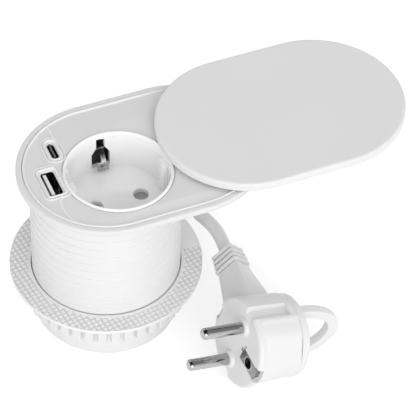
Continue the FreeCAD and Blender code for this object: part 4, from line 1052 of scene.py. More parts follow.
@dataclass
class Lid:
    """The sliding lid: a thin hollow cover with a rounded upper edge."""

    centre_x: float = 73.8
    half_run: float = 15.5
    radius: float = 35.5
    low: float = 79.1
    top: float = 82.7
    skin: float = 1.5
    wall: float = 1.6

    def build(self) -> None:
        """Builds the cover and refines the slider and its keys."""
        under, inner = self.top - self.skin, self.radius - self.wall
        profile = rounded([(0.0, under), (inner, under), (inner, self.low), (self.radius, self.low),
                           (self.radius, self.top), (0.0, self.top)], [0, 0, 0.2, 0.35, 1.2, 0], 9)
        cover = oval_solid("lid_cover", profile, self.centre_x, self.half_run, 256, closed=False)
        place(cover, Body.LID, Finish.LID_WHITE, "white_gloss", "lid_plate")
        slider = refined_copy("lid_slider", "lid_slider_plate", 0.12)
        place(slider, Body.LID, Finish.SATIN_WHITE, "white_satin")
        keys = refined_copy("slide_keys", "slide_key_pair", 0.15)
        place(keys, Body.HOUSING, Finish.SATIN_WHITE, "white_satin")


@dataclass
class Tube:
    """The threaded tube, its clamp washer and nut, and the cap at its foot."""

    radius: float = 29.9
    wall: float = 2.4
    low: float = 10.5
    high: float = 75.6
    tube_grid: tuple[int, int] = (600, 150)
    pitch: float = 4.3
    thread: float = 0.24
    thread_rise: Pair = (0.28, 0.34)
    thread_fall: Pair = (0.62, 0.68)
    thread_fade: float = 1.5
    mould_line: float = 0.10
    mould_line_width: float = 0.35
    mould_line_turn: float = 205.9
    knurl_grid: tuple[int, int] = (56, 1100)
    knurl_step: float = 2.04
    knurl_turn: float = 8.0
    knurl_depth: float = 0.36
    knurl_slope: Pair = (0.02, 0.2)
    plain_from: float = -6.8
    washer_radius: float = 38.8
    washer_low: float = 23.2
    washer_top: float = 24.9
    bore: float = 30.25
    nut_low: float = 11.7
    nut_top: float = 23.1
    nut_root: float = 32.0
    nut_rib: float = 34.1
    collar: float = 1.2
    ribs: int = 40
    rib_share: float = 0.76
    cap_radius: float = 29.2
    cap_bore: float = 26.1
    cap_floor: float = 2.2
    recess_angles: Triple = (48.0, 112.0, 217.0)
    recess_offset: float = 25.2
    recess_radius: float = 2.5
    recess_depth: float = 1.4

    def build_tube(self) -> None:
        """The tube: flat grooves climb a pitch each turn with painted shade along their edges, and a fine
        mould line runs up its left side.
        """
        rows, columns = self.tube_grid
        turn = around(columns)[None, :]
        height = np.linspace(self.low, self.high, rows)[:, None]
        phase = ((height - self.low) / self.pitch - turn / FULL_TURN) % 1.0
        groove = step(phase, *self.thread_rise) * (1 - step(phase, *self.thread_fall))
        ends = (np.clip((height - self.low) / self.thread_fade, 0, 1)
                * np.clip((self.high - 2.0 - height) / self.thread_fade, 0, 1))
        aside = ((turn - math.radians(self.mould_line_turn) + math.pi) % FULL_TURN - math.pi) * self.radius
        line = self.mould_line * np.exp(-(aside / self.mould_line_width) ** 2)
        outer = rings(self.radius - self.thread * groove * ends + line * ends, height, turn)
        inner = rings(self.radius - self.wall, np.array([[self.high], [self.low]]), turn)
        # painted shade: thin dark lines along both edges of each groove
        painted_shade = np.concatenate([4 * groove * (1 - groove) * ends, np.zeros((2, columns))])
        tube = grid_object("threaded_tube", np.concatenate([outer, inner]), wrap_rows=True, painted_shade=painted_shade)
        place(tube, Body.HOUSING, Finish.BODY_WHITE, "white_satin", "housing_tube")

    def build_washer(self) -> None:
        """The washer: two sets of straight grooves cross at right angles on its upper face, darkened by
        painted shade as deep as they go.
        """
        rows, columns = self.knurl_grid
        turn = around(columns)[None, :]
        radius = np.linspace(self.bore + 0.3, self.washer_radius - 0.16, rows)[:, None]
        x, y = radius * np.cos(turn), radius * np.sin(turn)
        tilt = math.radians(self.knurl_turn)
        across = (x * math.cos(tilt) + y * math.sin(tilt)) / self.knurl_step
        along = (y * math.cos(tilt) - x * math.sin(tilt)) / self.knurl_step
        nearest = np.minimum(np.abs(across % 1.0 - 0.5), np.abs(along % 1.0 - 0.5))
        plain = (y > self.plain_from) & (x > 0)
        fade = (np.clip((radius - self.bore - 0.8) / 0.8, 0, 1)
                * np.clip((self.washer_radius - 0.1 - radius) / 0.2, 0, 1))
        groove = np.where(plain, 0.0, 1 - step(nearest, *self.knurl_slope)) * fade
        top = np.stack([x, y, self.washer_top - self.knurl_depth * groove], -1)
        rim = np.array(rounded([(self.washer_radius, self.washer_top), (self.washer_radius, self.washer_low),
                                (self.bore, self.washer_low), (self.bore, self.washer_top)],
                               [0.12, 0.4, 0.2, 0.2], 4))
        # painted shade follows the grooves' depth
        washer = grid_object("knurled_washer", np.concatenate([top, rings(rim[:, :1], rim[:, 1:], turn)]),
                             wrap_rows=True, painted_shade=np.concatenate([groove, np.zeros((len(rim), columns))]))
        place(washer, Body.WASHER, Finish.KNURL_WHITE, "white_satin", "clamp_washer")

    def build_nut(self) -> None:
        """The nut: the outline steps between root and rib radius, with the ribs' edges and ends rounded.

        The first table holds places in a rib's pitch and how far the rib has risen there. The second holds
        heights over the nut's foot and how far the ribs have risen there, below nought where it is rounded.
        """
        share = self.rib_share
        across_rib = np.array([(-0.05, 0.0), (0.0, 0.5), (0.05, 0.9), (0.11, 1.0), (share / 2, 1.0),
                               (share - 0.11, 1.0), (share - 0.05, 0.9), (share, 0.5), (share + 0.05, 0.0),
                               ((1 + share) / 2, 0.0)])
        up_rib = np.array([(0.0, -0.5), (0.0, -0.2), (0.05, 0.5), (0.2, 0.85), (0.6, 1.0), (9.9, 1.0),
                           (10.2, 1.0)])
        turn = ((np.arange(self.ribs)[:, None] + across_rib[:, 0]) * FULL_TURN / self.ribs).ravel()
        lift = np.tile(across_rib[:, 1], self.ribs)
        rise = up_rib[:, 1:]
        foot = self.nut_root + np.clip(rise, -1, 0) * 1.2
        ribbed = rings(foot + (self.nut_rib - self.nut_root) * np.clip(rise, 0, 1) * lift,
                       self.nut_low + up_rib[:, :1], turn)
        shelf = self.nut_top - self.collar
        ring = np.array(rounded([(self.nut_root, shelf), (self.nut_rib, shelf), (self.nut_rib, self.nut_top),
                                 (self.bore, self.nut_top), (self.bore, self.nut_low)],
                                [0, 0.15, 0.15, 0.1, 0.2], 3))[1:]
        nut = grid_object("clamp_nut_ribbed", np.concatenate([ribbed, rings(ring[:, :1], ring[:, 1:], turn)]),
                          wrap_rows=True)
        place(nut, Body.NUT, Finish.BODY_WHITE, "white_satin", "clamp_nut")

    def build_cap(self) -> None:
        """The cap: a turned cup with a rounded foot and its screw recesses."""
        profile = rounded([(0.0, 0.0), (self.cap_radius, 0.0), (self.cap_radius, self.low),
                           (self.cap_bore, self.low), (self.cap_bore, self.cap_floor), (0.0, self.cap_floor)],
                          [0, 1.2, 0.15, 0.3, 0.5, 0], 8)
        cap = turned("foot_cap", profile, columns=160)
        deep, wide = self.recess_depth, self.recess_radius
        cutters = []
        for angle in np.radians(self.recess_angles):
            spot = (self.recess_offset * math.cos(angle), self.recess_offset * math.sin(angle))
            cutters.append(turned("recess", [(0.0, -1), (wide, -1), (wide, deep), (0.0, deep)], spot, 32))
        carve(cap, cutters)
        place(cap, Body.HOUSING, Finish.BODY_WHITE, "white_satin", "bottom_cap")

    def build(self) -> None:
        """Builds the tube and everything on it."""
        self.build_tube()
        self.build_washer()
        self.build_nut()
        self.build_cap()


@dataclass
class Plug:
    """The plug, worked out in its own frame: pins towards -X, cord towards +Y."""

    x: float = 32.6
    y: float = -58.0
    yaw: float = 3.0
    pitch: float = 14.4
    roll: float = 5.0
    columns: int = 540
    radius: float = 18.2
    rear_radius: float = 17.3
    length: float = 20.2
    face_round: float = 1.6
    rear_round: float = 0.5
    side_rows: tuple[float, ...] = (
        2.0, 2.3, 2.5, 2.7, 2.9, 3.1, 4.0, 6.0, 9.0, 12.0, 15.0, 16.6, 16.95, 17.1, 17.25, 17.4, 17.8, 18.8)
    flat_distance: float = 16.5
    flat_turn: float = 31.5
    flat_start: float = 2.6
    flat_blend: float = 0.25
    lip: float = 0.45
    lip_turn: float = 76.0
    lip_width: float = 4.5
    groove_width: float = 5.6
    groove_depth: float = 2.2
    groove_end: float = 3.0
    notch: Triple = (2.8, 7.0, 2.6)
    plate_seat: Triple = (4.8, 6.0, 0.85)
    slots: tuple[tuple[float, float, float, float], ...] = ((-4.6, -3.7, 0.2, 2.3), (-6.2, -5.2, 3.2, 4.6))
    slot_shade_inset: float = 0.05
    back_radius: float = 16.9
    back_thick: float = 3.8
    back_round: float = 1.4
    pin_radius: float = 2.4
    pin_length: float = 19.0
    pin_offset: float = 9.5
    pin_root: float = 6.0
    pin_round: float = 1.7
    collar: tuple[Pair, ...] = ((0.4, 0.0), (0.4, 4.1), (-1.4, 3.5), (-1.4, 0.0))
    collar_round: float = 0.6
    earth_hole: float = -10.5
    earth_radius: float = 2.5
    earth_depth: float = 7.5
    # black lining of the earth hole, painted shade
    sleeve: tuple[Pair, ...] = ((0.9, 2.45), (0.9, 2.1), (6.5, 2.1), (6.5, 0.0), (7.3, 0.0), (7.3, 2.45))
    eyelet: tuple[Pair, ...] = ((0.9, 2.3), (-0.1, 2.3), (-0.1, 2.85), (0.9, 2.85))
    eyelet_round: float = 0.2
    axis_x: float = 12.0
    axis_slope: float = 0.15
    neck_start: float = 11.0
    neck_end: float = 35.6
    neck_root: Pair = (7.0, 10.5)
    neck_tip: Pair = (5.0, 5.0)
    neck_corner: Pair = (3.6, 0.5)
    neck_twist: float = 33.0
    relief_length: float = 10.4
    relief_ribs: int = 4
    relief_pitch: float = 2.4
    relief_half: float = 5.7
    relief_core: float = 4.2
    ring_reach: Pair = (22.0, 17.0)
    ring_half: Pair = (15.2, 11.4)
    ring_width: float = 4.0
    ring_root: float = 1.6

    def matrix(self) -> Matrix:
        """The plug's place on the ground: turned, leant on its back rim and rolled, in metres.

        Returns:
            The matrix from the plug's own frame to the row frame.
        """
        lean = math.radians(self.pitch)
        rim_x = self.length + self.back_thick - self.back_round
        rim_z = self.back_radius - self.back_round
        height = rim_x * math.sin(lean) + rim_z * math.cos(lean) + self.back_round
        turn = (Matrix.Rotation(math.radians(self.yaw), 4, "Z") @ Matrix.Rotation(lean, 4, "Y")
                @ Matrix.Rotation(math.radians(self.roll), 4, "X"))
        return Matrix.Translation(Vector((self.x, self.y, height)) * MM) @ turn

    def axis(self, y: float) -> float:
        """Distance behind the face of the neck's axis, which leans back along the cord."""
        return self.axis_x + self.axis_slope * (y - self.neck_start)

    def seat(self, obj: bpy.types.Object, *nodes: str, finish: Finish = Finish.PLUG_WHITE,
             slot: str = "white_satin") -> None:
        """Moves a piece's mesh from the plug's frame to its place and dresses it."""
        obj.data.transform(self.matrix())
        place(obj, Body.HOUSING, finish, slot, *nodes)

    def turned_x(self, name: str, profile: Sequence[Pair], y: float = 0.0, z: float = 0.0,
                 columns: int = 48) -> bpy.types.Object:
        """Turns a profile about an axis along X: each point is (distance, radius * cos t, radius * sin t).

        Args:
            name: name of the object.
            profile: pairs of distance behind the face and radius, in millimetres.
            y: how far the axis lies towards the cord.
            z: its height over the plug's middle.
            columns: steps round the axis.

        Returns:
            The linked object.
        """
        shape = np.asarray(profile, float)
        around_z = rings(shape[:, 1:], shape[:, :1], around(columns), (y, z))
        return grid_object(name, np.roll(around_z, 1, -1), wrap_rows=shape[0, 1] > 0)

    def front_radius(self, turn: Points, x: Points) -> Points:
        """Radius of the front at an angle from its near side and a distance from the face.

        A cone, cut by two planes that make the finger flats, with a low lip beside each guide groove. The
        groove is a third plane, let in where the point lies within half the groove's width.

        Args:
            turn: angles from -Y towards +Z, in radians, one row.
            x: distances from the face, one column.

        Returns:
            Array of rows x columns, in millimetres.
        """
        base = self.radius + (self.rear_radius - self.radius) * x / self.length
        side, rise = np.abs(turn), np.abs(np.sin(turn))
        plane = self.flat_distance / np.maximum(np.cos(side - math.radians(self.flat_turn)), 0.4)
        cut = 0.5 * (base + plane - np.sqrt((base - plane) ** 2 + self.flat_blend ** 2))
        lip = self.lip * np.exp(-((np.degrees(side) - self.lip_turn) / self.lip_width) ** 2)
        radius = base + (cut - base + lip) * step(x, self.flat_start - 0.3, self.flat_start + 0.4)
        across, half = np.abs(base * np.cos(turn)), self.groove_width / 2
        end = self.length - self.groove_end
        inside = 1 - step(across, half - 0.25, half + 0.25)
        inside = inside * (rise > 0.7) * (1 - step(x, end - 0.2, end + 0.2))
        floor = (self.radius - self.groove_depth) / np.maximum(rise, 0.5)
        return radius + (np.minimum(radius, floor) - radius) * inside

    def build_body(self) -> None:
        """The moulded front on a polar grid: rings on the face, round its edge, along the side and behind."""
        turn = (np.arange(self.columns) / self.columns * FULL_TURN - math.pi)[None, :]
        curve = np.radians(np.linspace(90, 0, 9))[:, None]
        nose_x = self.face_round * (1 - np.sin(curve))
        nose = self.front_radius(turn, nose_x) - self.face_round * (1 - np.cos(curve))
        rear = self.length - self.rear_round
        side_x = np.array([*self.side_rows, rear])[:, None]
        side = self.front_radius(turn, side_x)
        bend = np.radians([30.0, 60.0, 90.0])[:, None]
        tail = side[-1:] - self.rear_round * (1 - np.cos(bend))
        face = nose[:1] * np.array([0.0, 0.4, 0.8, 0.985])[:, None]
        back = tail[-1:] * np.array([0.97, 0.0])[:, None]
        radius = np.concatenate([face, nose, side, tail, back])
        x = np.concatenate([np.zeros((4, 1)), nose_x, side_x, rear + self.rear_round * np.sin(bend),
                            np.full((2, 1), self.length)])
        points = np.broadcast_arrays(x, -radius * np.cos(turn), radius * np.sin(turn))
        body = grid_object("plug_front", np.stack(points, -1))
        carve(body, self.face_cutters())
        self.seat(body, "plug_body")

    def face_cutters(self) -> list[bpy.types.Object]:
        """The cutters for the two side notches, the earth plate's seat, its two slots and the earth hole.

        Returns:
            The cutters, in the plug's own frame.
        """
        deep, wide, far = self.notch
        edge = self.radius - deep
        reach, seat_wide, seat_deep = self.plate_seat
        boxes = [("notch", (-self.radius - 1, -edge), (-wide / 2, wide / 2), far, 0.3),
                 ("notch", (edge, self.radius + 1), (-wide / 2, wide / 2), far, 0.3),
                 ("plate_seat", (-edge - 0.1, -reach), (-seat_wide / 2, seat_wide / 2), seat_deep, 0.1)]
        boxes += [("slot", (left, right), (low, high), 1.2, 0.2) for left, right, low, high in self.slots]
        cutters = [box_object(name, (-1, left, low), (depth, right, high), corner)
                   for name, (left, right), (low, high), depth, corner in boxes]
        radius, end = self.earth_radius, self.earth_depth
        bore = [(-1, 0.0), (-1, radius), (end, radius), (end, 0.0)]
        return [*cutters, self.turned_x("bore", bore, self.earth_hole)]

    def build_face_details(self) -> None:
        """The pin collars, the earth hole's black sleeve as painted shade with its bright eyelet, and black
        boxes in the slots as painted shade.
        """
        for side, name in ((-1, "lower"), (1, "upper")):
            cone = rounded(self.collar, [0, 0, self.collar_round, 0], 6)
            self.seat(self.turned_x(f"pin_collar_{name}", cone, z=side * self.pin_offset))
        self.seat(self.turned_x("plug_earth_sleeve_shade", self.sleeve, self.earth_hole),
                  finish=Finish.PORT_BLACK, slot="dark_plastic")
        eyelet = rounded(self.eyelet, [0, self.eyelet_round, self.eyelet_round, 0], 4)
        self.seat(self.turned_x("plug_earth_eyelet", eyelet, self.earth_hole),
                  finish=Finish.NICKEL, slot="nickel")
        # painted shade: a black box in each slot stands for the shade in it
        gap = self.slot_shade_inset
        for index, (left, right, low, high) in enumerate(self.slots):
            slot_shade_box = box_object(f"plug_slot_shade_{index + 1}", (0.35, left + gap, low + gap),
                                (1.1, right - gap, high - gap), 0.15)
            self.seat(slot_shade_box, finish=Finish.PORT_BLACK, slot="dark_plastic")

    def sections(self, name: str, rows: Sequence[tuple[float, Points, float]]) -> bpy.types.Object:
        """A solid through sections across the leaning axis.

        Args:
            name: name of the object.
            rows: for each section its distance along the cord, its outline, and the share of the neck's twist
                by which it is turned, its near side upwards.

        Returns:
            The linked object.
        """
        grid = []
        for y, outline, share in rows:
            angle = math.radians(self.neck_twist) * share
            across = outline[:, 0] * math.cos(angle) + outline[:, 1] * math.sin(angle)
            upward = outline[:, 1] * math.cos(angle) - outline[:, 0] * math.sin(angle)
            grid.append(np.column_stack([self.axis(y) + across, np.full(len(outline), y), upward]))
        return grid_object(name, np.stack(grid), capped=True)

    def build_neck(self) -> None:
        """The neck: a box section that narrows and twists towards the cord while its corners grow crisper."""
        rows = []
        for share in np.linspace(0, 1, 24):
            ease = 1 - (1 - share) ** 1.35
            half_x, half_z = (root + (tip - root) * ease for root, tip in zip(self.neck_root, self.neck_tip))
            corner = self.neck_corner[0] + (self.neck_corner[1] - self.neck_corner[0]) * share ** 0.6
            y = self.neck_start + (self.neck_end - self.neck_start) * share
            rows.append((y, rounded_box_section(half_x, half_z, corner, 6), ease))
        self.seat(self.sections("plug_neck", rows))

    def build_relief(self) -> None:
        """The ribbed boot: one bevelled section whose size steps between rib and core along the axis."""
        core, far = self.relief_core, self.neck_end + self.relief_length
        sizes = [(self.neck_end - 0.3, 4.5)]
        for rib in range(self.relief_ribs):
            low = self.neck_end + 0.6 + rib * self.relief_pitch
            wide = self.relief_half - rib * 0.175
            sizes += [(low - 0.05, core), (low, wide - 0.3), (low + 0.25, wide), (low + 1.25, wide),
                      (low + 1.5, wide - 0.3), (low + 1.55, core)]
        sizes += [(far - 0.5, 4.0), (far, 3.4)]
        rows = [(y, rounded_box_section(half, half, half * 0.2), 1.0) for y, half in sizes]
        self.seat(self.sections("plug_boot", rows), "plug_strain_relief")

    def build_back(self) -> None:
        """The back plate with its rounded rim and the flat pull ring, the band between two half ovals."""
        near, far = self.length + 0.3, self.length + self.back_thick
        rim = self.back_radius - 0.2
        profile = rounded([(near, 0.0), (near, rim), (far, rim), (far, 0.0)], [0, 0.5, self.back_round, 0], 7)
        self.seat(self.turned_x("plug_back_plate", profile, columns=160), "plug_back")
        turn = np.radians(np.linspace(90, -90, 72))
        bows = []
        for reach, half in zip(self.ring_reach, self.ring_half):
            bow = np.stack([far + reach * np.cos(turn), half * np.sin(turn)], -1)
            bows.append(np.concatenate([bow[:1] - (self.ring_root, 0), bow, bow[-1:] - (self.ring_root, 0)]))
        section = rounded_box_section(1.0, 1.0, 0.28)
        flat = (sum(bows) / 2)[:, None] + section[None, :, :1] * ((bows[0] - bows[1]) / 2)[:, None]
        rise = np.broadcast_to(section[None, :, 1] * self.ring_width / 2, flat.shape[:2])
        band = grid_object("plug_pull_band", np.stack([flat[..., 0], rise, flat[..., 1]], -1), capped=True)
        self.seat(band, "plug_pull_ring")

    def build_metal(self) -> None:
        """The two pins and the earth plates."""
        tip, root = -self.pin_length, self.pin_root
        profile = rounded([(tip, 0.0), (tip, self.pin_radius), (root, self.pin_radius), (root, 0.0)],
                          [0, self.pin_round, 0, 0], 10)
        for side, name, nodes in ((-1, "lower", ()), (1, "upper", ("plug_pins",))):
            pin = self.turned_x(f"plug_pin_{name}_metal", profile, z=side * self.pin_offset, columns=64)
            self.seat(pin, *nodes, finish=Finish.NICKEL, slot="nickel")
        plates = refined_copy("plug_earth_clips", "plug_earth_plates", 0.1)
        place(plates, Body.HOUSING, Finish.PLATE_NICKEL, "nickel")

    def build(self) -> None:
        """Builds the whole plug."""
        self.build_body()
        self.build_face_details()
        self.build_neck()
        self.build_relief()
        self.build_back()
        self.build_metal()


@dataclass
class Cord:
    """The mains cord: from the gland to the hank behind the object, and on to the plug."""

    radius: float = 2.75
    length: float = 1.19
    gland_angle: float = 84.0
    gland_height: float = 5.25
    gland_tip: float = 49.2
    gland_root: tuple[Pair, ...] = ((26.0, 4.5), (29.3, 4.55), (31.8, 4.5))
    gland_ribs: int = 4
    gland_first: float = 32.6
    gland_pitch: float = 3.6
    gland_radius: float = 4.45
    gland_taper: float = 0.18
    gland_groove: float = 3.35
    run: float = 10.3
    turns: int = 4
    hank_run: float = 84.0
    hank_radius: float = 17.0
    waist: float = 3.5
    pitch: float = 6.1
    layers: int = 4
    rest: float = 3.45
    way_out: tuple[Triple, ...] = (
        (100.5, 43.8, 18.1), (89.1, 44.6, 11.8), (77.0, 43.8, 7.2), (66.2, 40.5, 6.2), (57.1, 34.7, 7.8),
        (50.5, 26.8, 11.4), (47.2, 17.6, 16.0), (47.7, 7.9, 20.7))
    tie_half: float = 6.95
    tie_levels: Pair = (0.25, 25.6)
    tie_round: float = 1.9
    tie_strap: Pair = (4.4, 0.22)

    def lead_in(self) -> Points:
        """The route's points from the gland's tip to the hank: each run turns by the same angle.

        Returns:
            Points x 3, in millimetres.
        """
        angle = math.radians(self.gland_angle)
        start = self.gland_tip * np.array([math.cos(angle), math.sin(angle)])
        headings = angle * (1 - np.arange(self.turns + 1) / self.turns)
        steps = self.run * np.stack([np.cos(headings), np.sin(headings)], -1)
        flat = np.concatenate([[start], start + np.cumsum(steps, axis=0)])
        return np.column_stack([flat, [self.gland_height, self.gland_height, 4.3, 3.5, self.rest, self.rest]])

    def hank(self, left: float, back: float) -> Points:
        """The hank's points: back run, half loop, front run that climbs one layer, half loop, and so on.

        Args:
            left: X where the runs start.
            back: Y of the back run.

        Returns:
            Points x 3, in millimetres.
        """
        right, middle = left + self.hank_run, back - self.hank_radius
        runs = np.array([0.125, 0.375, 0.625, 0.875])
        climb = np.array([0.1, 0.35, 0.65, 0.9])
        drawn = np.array([self.hank_radius, self.waist, self.waist, self.hank_radius])
        loop = np.radians([67.5, 22.5, -22.5, -67.5])
        bow = self.hank_radius / math.cos(math.radians(22.5)) * np.stack([np.cos(loop), np.sin(loop)], -1)
        parts = []
        for layer in range(self.layers):
            low, high = self.rest + layer * self.pitch, self.rest + (layer + 1) * self.pitch
            parts += [(left + runs * self.hank_run, middle + drawn, np.full(4, low)),
                      (right + bow[:, 0], middle + bow[:, 1], np.full(4, low)),
                      (right - runs * self.hank_run, middle - drawn, low + climb * self.pitch),
                      (left - bow[:, 0], middle - bow[:, 1], np.full(4, high))]
        return np.concatenate([np.stack(part, -1) for part in parts[:-2]])

    def lead_out(self, plug: Plug, right: float, front: float) -> Points:
        """The route's points from the hank's top run to the plug's boot.

        Args:
            plug: the plug, which says where its boot ends.
            right: X where the hank's runs end.
            front: Y of the hank's front run.

        Returns:
            Points x 3, in millimetres.
        """
        top = self.rest + (self.layers - 1) * self.pitch
        matrix = plug.matrix()
        boot = plug.neck_end + plug.relief_length
        ends = [np.array(matrix @ Vector((plug.axis(y) * MM, y * MM, 0))) / MM for y in (boot + 9.5, boot)]
        start = right - 2 * self.radius
        return np.array([(start, front, top), (start - 11, front, top), *self.way_out, *ends], float)

    def build(self, plug: Plug) -> None:
        """Builds the cord as one smooth curve, with its gland and tie.

        Args:
            plug: the plug at its far end.
        """
        start = self.lead_in()
        left, back = start[-1][0] + 2 * self.radius, start[-1][1]
        right, front = left + self.hank_run, back - 2 * self.hank_radius
        route = np.concatenate([start, self.hank(left, back), self.lead_out(plug, right, front)])
        curve = bpy.data.curves.new("mains_cord", "CURVE")
        curve.dimensions = "3D"
        curve.bevel_depth = self.radius * MM
        curve.bevel_resolution = 5
        curve.resolution_u = 8
        curve.use_fill_caps = True
        spline = curve.splines.new("NURBS")
        spline.points.add(len(route) - 1)
        spline.points.foreach_set("co", np.column_stack([route * MM, np.ones(len(route))]).ravel())
        spline.order_u = 3
        spline.use_endpoint_u = True
        cord = linked("mains_cord", curve)
        place(cord, Body.HOUSING, Finish.CORD_WHITE, "cord_white",
              "cord_lead_in", "cord_hank", "cord_lead_out")
        self.build_gland()
        self.build_tie((left + right) / 2, (front + back) / 2)

    def build_gland(self) -> None:
        """The tapered boot at the cap: a turned shape with grooves, laid along the cord's way out."""
        rows, core = [*self.gland_root], self.gland_groove
        for index in range(self.gland_ribs):
            low = self.gland_first + index * self.gland_pitch
            wide = self.gland_radius - self.gland_taper * (index + 1)
            rows += [(low, wide), (low + 0.15, core), (low + 1.0, core), (low + 1.15, wide - 0.05)]
        rows += [(self.gland_tip - 0.3, 3.65), (self.gland_tip, 3.4), (self.gland_tip, 2.6)]
        distance, radius = np.array(rows).T[:, :, None]
        turn, angle = around(48), math.radians(self.gland_angle)
        aside, rise = radius * np.cos(turn), radius * np.sin(turn)
        points = np.stack([distance * math.cos(angle) + aside * math.sin(angle),
                           distance * math.sin(angle) - aside * math.cos(angle),
                           rise + self.gland_height], -1)
        gland = grid_object("cord_boot", points, capped=True)
        place(gland, Body.HOUSING, Finish.BODY_WHITE, "white_satin", "cord_gland")

    def build_tie(self, x: float, y: float) -> None:
        """The strap round the hank's waist: a flat band on a rounded rectangle.

        Args:
            x: middle of the hank's runs.
            y: middle between the back and the front runs.
        """
        low, high = self.tie_levels
        line = rounded_box_section(self.tie_half, (high - low) / 2, self.tie_round, 6)
        flat = np.column_stack([np.full(len(line), x), y + line[:, 0], (high + low) / 2 + line[:, 1]])
        ahead = np.roll(flat, -1, 0) - np.roll(flat, 1, 0)
        ahead /= np.linalg.norm(ahead, axis=1, keepdims=True)
        side = np.tile([1.0, 0.0, 0.0], (len(flat), 1))
        tie = swept("hank_tie", np.stack([flat, side, np.cross(ahead, side)], 1),
                    rounded_box_section(*self.tie_strap, 0.12, 3), closed=True)
        place(tie, Body.HOUSING, Finish.STRAP_BLACK, "tie_black", "cord_tie")


KEPT_NODES: dict[Finish, tuple[str, ...]] = {
    Finish.STEEL: ("frame_screws", "block_screws", "terminal_screws", "shutter_spring", "cap_screws",
                   "board_screws", "key_screws", "lid_screws", "clamp_screws"),
    Finish.INNER_GREY: ("contact_block", "block_cover", "cord_clamp"),
    Finish.BOARD_GREEN: ("usb_board", "charger_board"),
    Finish.BRASS: ("pin_contacts",),
    Finish.SHUTTER_GREY: ("shutter",),
    Finish.PORT_BLACK: ("charger_transformer",),
    Finish.CAN: ("charger_capacitors",),
    Finish.CORD_WHITE: ("cable_tail",),
    Finish.WIRE_BROWN: ("wire_cores",),
}


def dress_nodes() -> None:
    """Gives each CAD node that stays in view its procedural material."""
    for finish, names in KEPT_NODES.items():
        for name in names:
            materials = CAD_NODES[name].data.materials
            materials.clear()
            materials.append(finish.value.material())
            log.info("%s keeps its shape, in %s", name, finish.value.name)


# Camera, floor and light


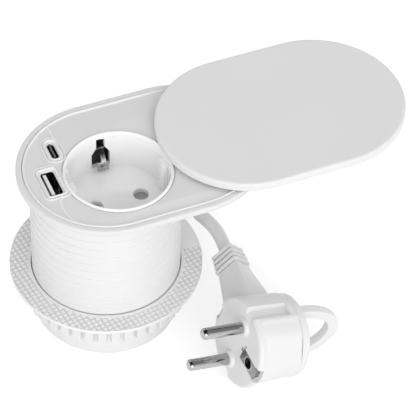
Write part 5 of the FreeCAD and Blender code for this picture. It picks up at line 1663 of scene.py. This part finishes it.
@dataclass
class Studio:
    """The camera at the photograph's place, a pale floor and soft light."""

    eye: Triple = (-240.65, -631.07, 770.97)
    azimuth: float = -24.283
    elevation: float = 46.652
    roll: float = 2.297
    lens: float = 216.15
    sky: float = 0.70
    roof_from: float = 0.20
    roof_to: float = 0.48
    roof_level: float = 0.02
    floor_half: float = 3.0
    floor_depth: float = 0.0002
    floor_lift: float = 0.45
    front_lamp: tuple[float, float, float, float] = (-16.0, 18.0, 0.50, 60.0)
    right_lamp: tuple[float, float, float, float] = (70.0, 25.0, 0.10, 70.0)

    def build_camera(self) -> None:
        """Places the camera: its back axis from azimuth and elevation, then its roll."""
        azimuth, elevation, roll = (math.radians(a) for a in (self.azimuth, self.elevation, self.roll))
        back = Vector((math.sin(azimuth) * math.cos(elevation), -math.cos(azimuth) * math.cos(elevation),
                       math.sin(elevation)))
        right = Vector((math.cos(azimuth), math.sin(azimuth), 0))
        up = back.cross(right)
        across = right * math.cos(roll) + up * math.sin(roll)
        above = up * math.cos(roll) - right * math.sin(roll)
        data = bpy.data.cameras.new("photo_camera")
        data.lens = self.lens
        data.sensor_width = 36.0
        data.sensor_fit = "HORIZONTAL"
        data.clip_start = 0.01
        camera = linked("photo_camera", data)
        turn = Matrix((across, above, back)).transposed().to_4x4()
        camera.matrix_world = Matrix.Translation(Vector(self.eye) * MM) @ turn
        bpy.context.scene.camera = camera

    def seen(self, tree: bpy.types.NodeTree) -> bpy.types.NodeSocket:
        """One where the camera, gloss or glass looks, nought where light is gathered.

        Args:
            tree: the material's or the world's tree.

        Returns:
            The output that holds the largest of the three rays' flags.
        """
        rays = add_node(tree, "LightPath").outputs
        flag = rays["Is Camera Ray"]
        for other in ("Is Glossy Ray", "Is Transmission Ray"):
            flag = add_node(tree, "Math", {0: flag, 1: rays[other]}, operation="MAXIMUM").outputs[0]
        return flag

    def build_world(self) -> None:
        """An even light that looks white behind the object and, in gloss, darkens overhead like a roof."""
        world = bpy.data.worlds.new("studio")
        world.use_nodes = True
        bpy.context.scene.world = world
        tree = world.node_tree
        lit = tree.nodes["Background"]
        feed(tree, lit, {"Color": grey(1.0), "Strength": self.sky})
        way = add_node(tree, "SeparateXYZ", {0: add_node(tree, "TexCoord").outputs["Generated"]})
        levels = {"Value": way.outputs["Z"], "From Min": self.roof_from, "From Max": self.roof_to,
                  "To Min": 1.0, "To Max": self.roof_level}
        roof = add_node(tree, "MapRange", levels, interpolation_type="SMOOTHSTEP")
        gloss = add_node(tree, "LightPath").outputs["Is Glossy Ray"]
        shown = add_node(tree, "Mix", {"Factor": gloss, "A": 1.0, "B": roof.outputs["Result"]})
        white = add_node(tree, "Background", {"Strength": shown.outputs["Result"]})
        mix = add_node(tree, "MixShader", {"Fac": self.seen(tree), 1: lit.outputs[0], 2: white.outputs[0]})
        feed(tree, tree.nodes["World Output"], {"Surface": mix.outputs[0]})

    def build_floor(self) -> None:
        """A large pale floor that lights the object and looks white outside the object's soft shadow."""
        mesh = bpy.data.meshes.new("studio_floor")
        half = self.floor_half
        around_it = ((-half, -half), (half, -half), (half, half), (-half, half))
        mesh.from_pydata([(x, y, -self.floor_depth) for x, y in around_it], [], [(0, 1, 2, 3)])
        floor = linked("studio_floor", mesh)
        material = bpy.data.materials.new("floor_white")
        material.use_nodes = True
        tree = material.node_tree
        lift = add_node(tree, "Math", {0: self.seen(tree), 1: self.floor_lift}, operation="MULTIPLY")
        feed(tree, tree.nodes["Principled BSDF"], {
            "Base Color": grey(0.8), "Roughness": 0.9, "Specular IOR Level": 0.0, "Emission Color": grey(1.0),
            "Emission Strength": lift.outputs[0]})
        mesh.materials.append(material)

    def add_lamp(self, name: str, azimuth: float, elevation: float, level: float, spread: float) -> None:
        """Adds a far soft lamp.

        Args:
            name: name of the lamp.
            azimuth: direction it stands in, in degrees from -Y towards +X.
            elevation: its height in degrees.
            level: share of a white surface's full brightness that it gives when it faces the lamp.
            spread: angle that it fills, in degrees.
        """
        data = bpy.data.lights.new(name, "SUN")
        data.energy = level * math.pi
        data.angle = math.radians(spread)
        side, rise = math.radians(azimuth), math.radians(elevation)
        away = Vector((math.sin(side) * math.cos(rise), -math.cos(side) * math.cos(rise), math.sin(rise)))
        lamp = linked(name, data)
        lamp.matrix_world = Matrix.Translation(away) @ away.to_track_quat("Z", "Y").to_matrix().to_4x4()

    def build(self) -> None:
        """Builds camera, floor and light: a broad low lamp in front and a weak one from the right."""
        self.build_camera()
        self.build_world()
        self.build_floor()
        self.add_lamp("front_lamp", *self.front_lamp)
        self.add_lamp("right_lamp", *self.right_lamp)
        bpy.context.scene.view_settings.view_transform = "Standard"


def corners(box: Sequence[Vector]) -> list[list[float]]:
    """A box's two corners as plain numbers."""
    return [[round(float(value), 6) for value in corner] for corner in box]


def main() -> None:
    """Builds every class in order."""
    CAD_NODES.update(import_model()["nodes"])
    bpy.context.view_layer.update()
    Studio().build()
    plug = Plug()
    for piece in (Bezel(), Cup(), Ports(), Lid(), Tube(), plug):
        log.info("building %s", type(piece).__name__)
        piece.build()
    Cord().build(plug)
    dress_nodes()


if __name__ == "__main__":
    logging.basicConfig(level=logging.INFO, format="%(message)s")
    main()
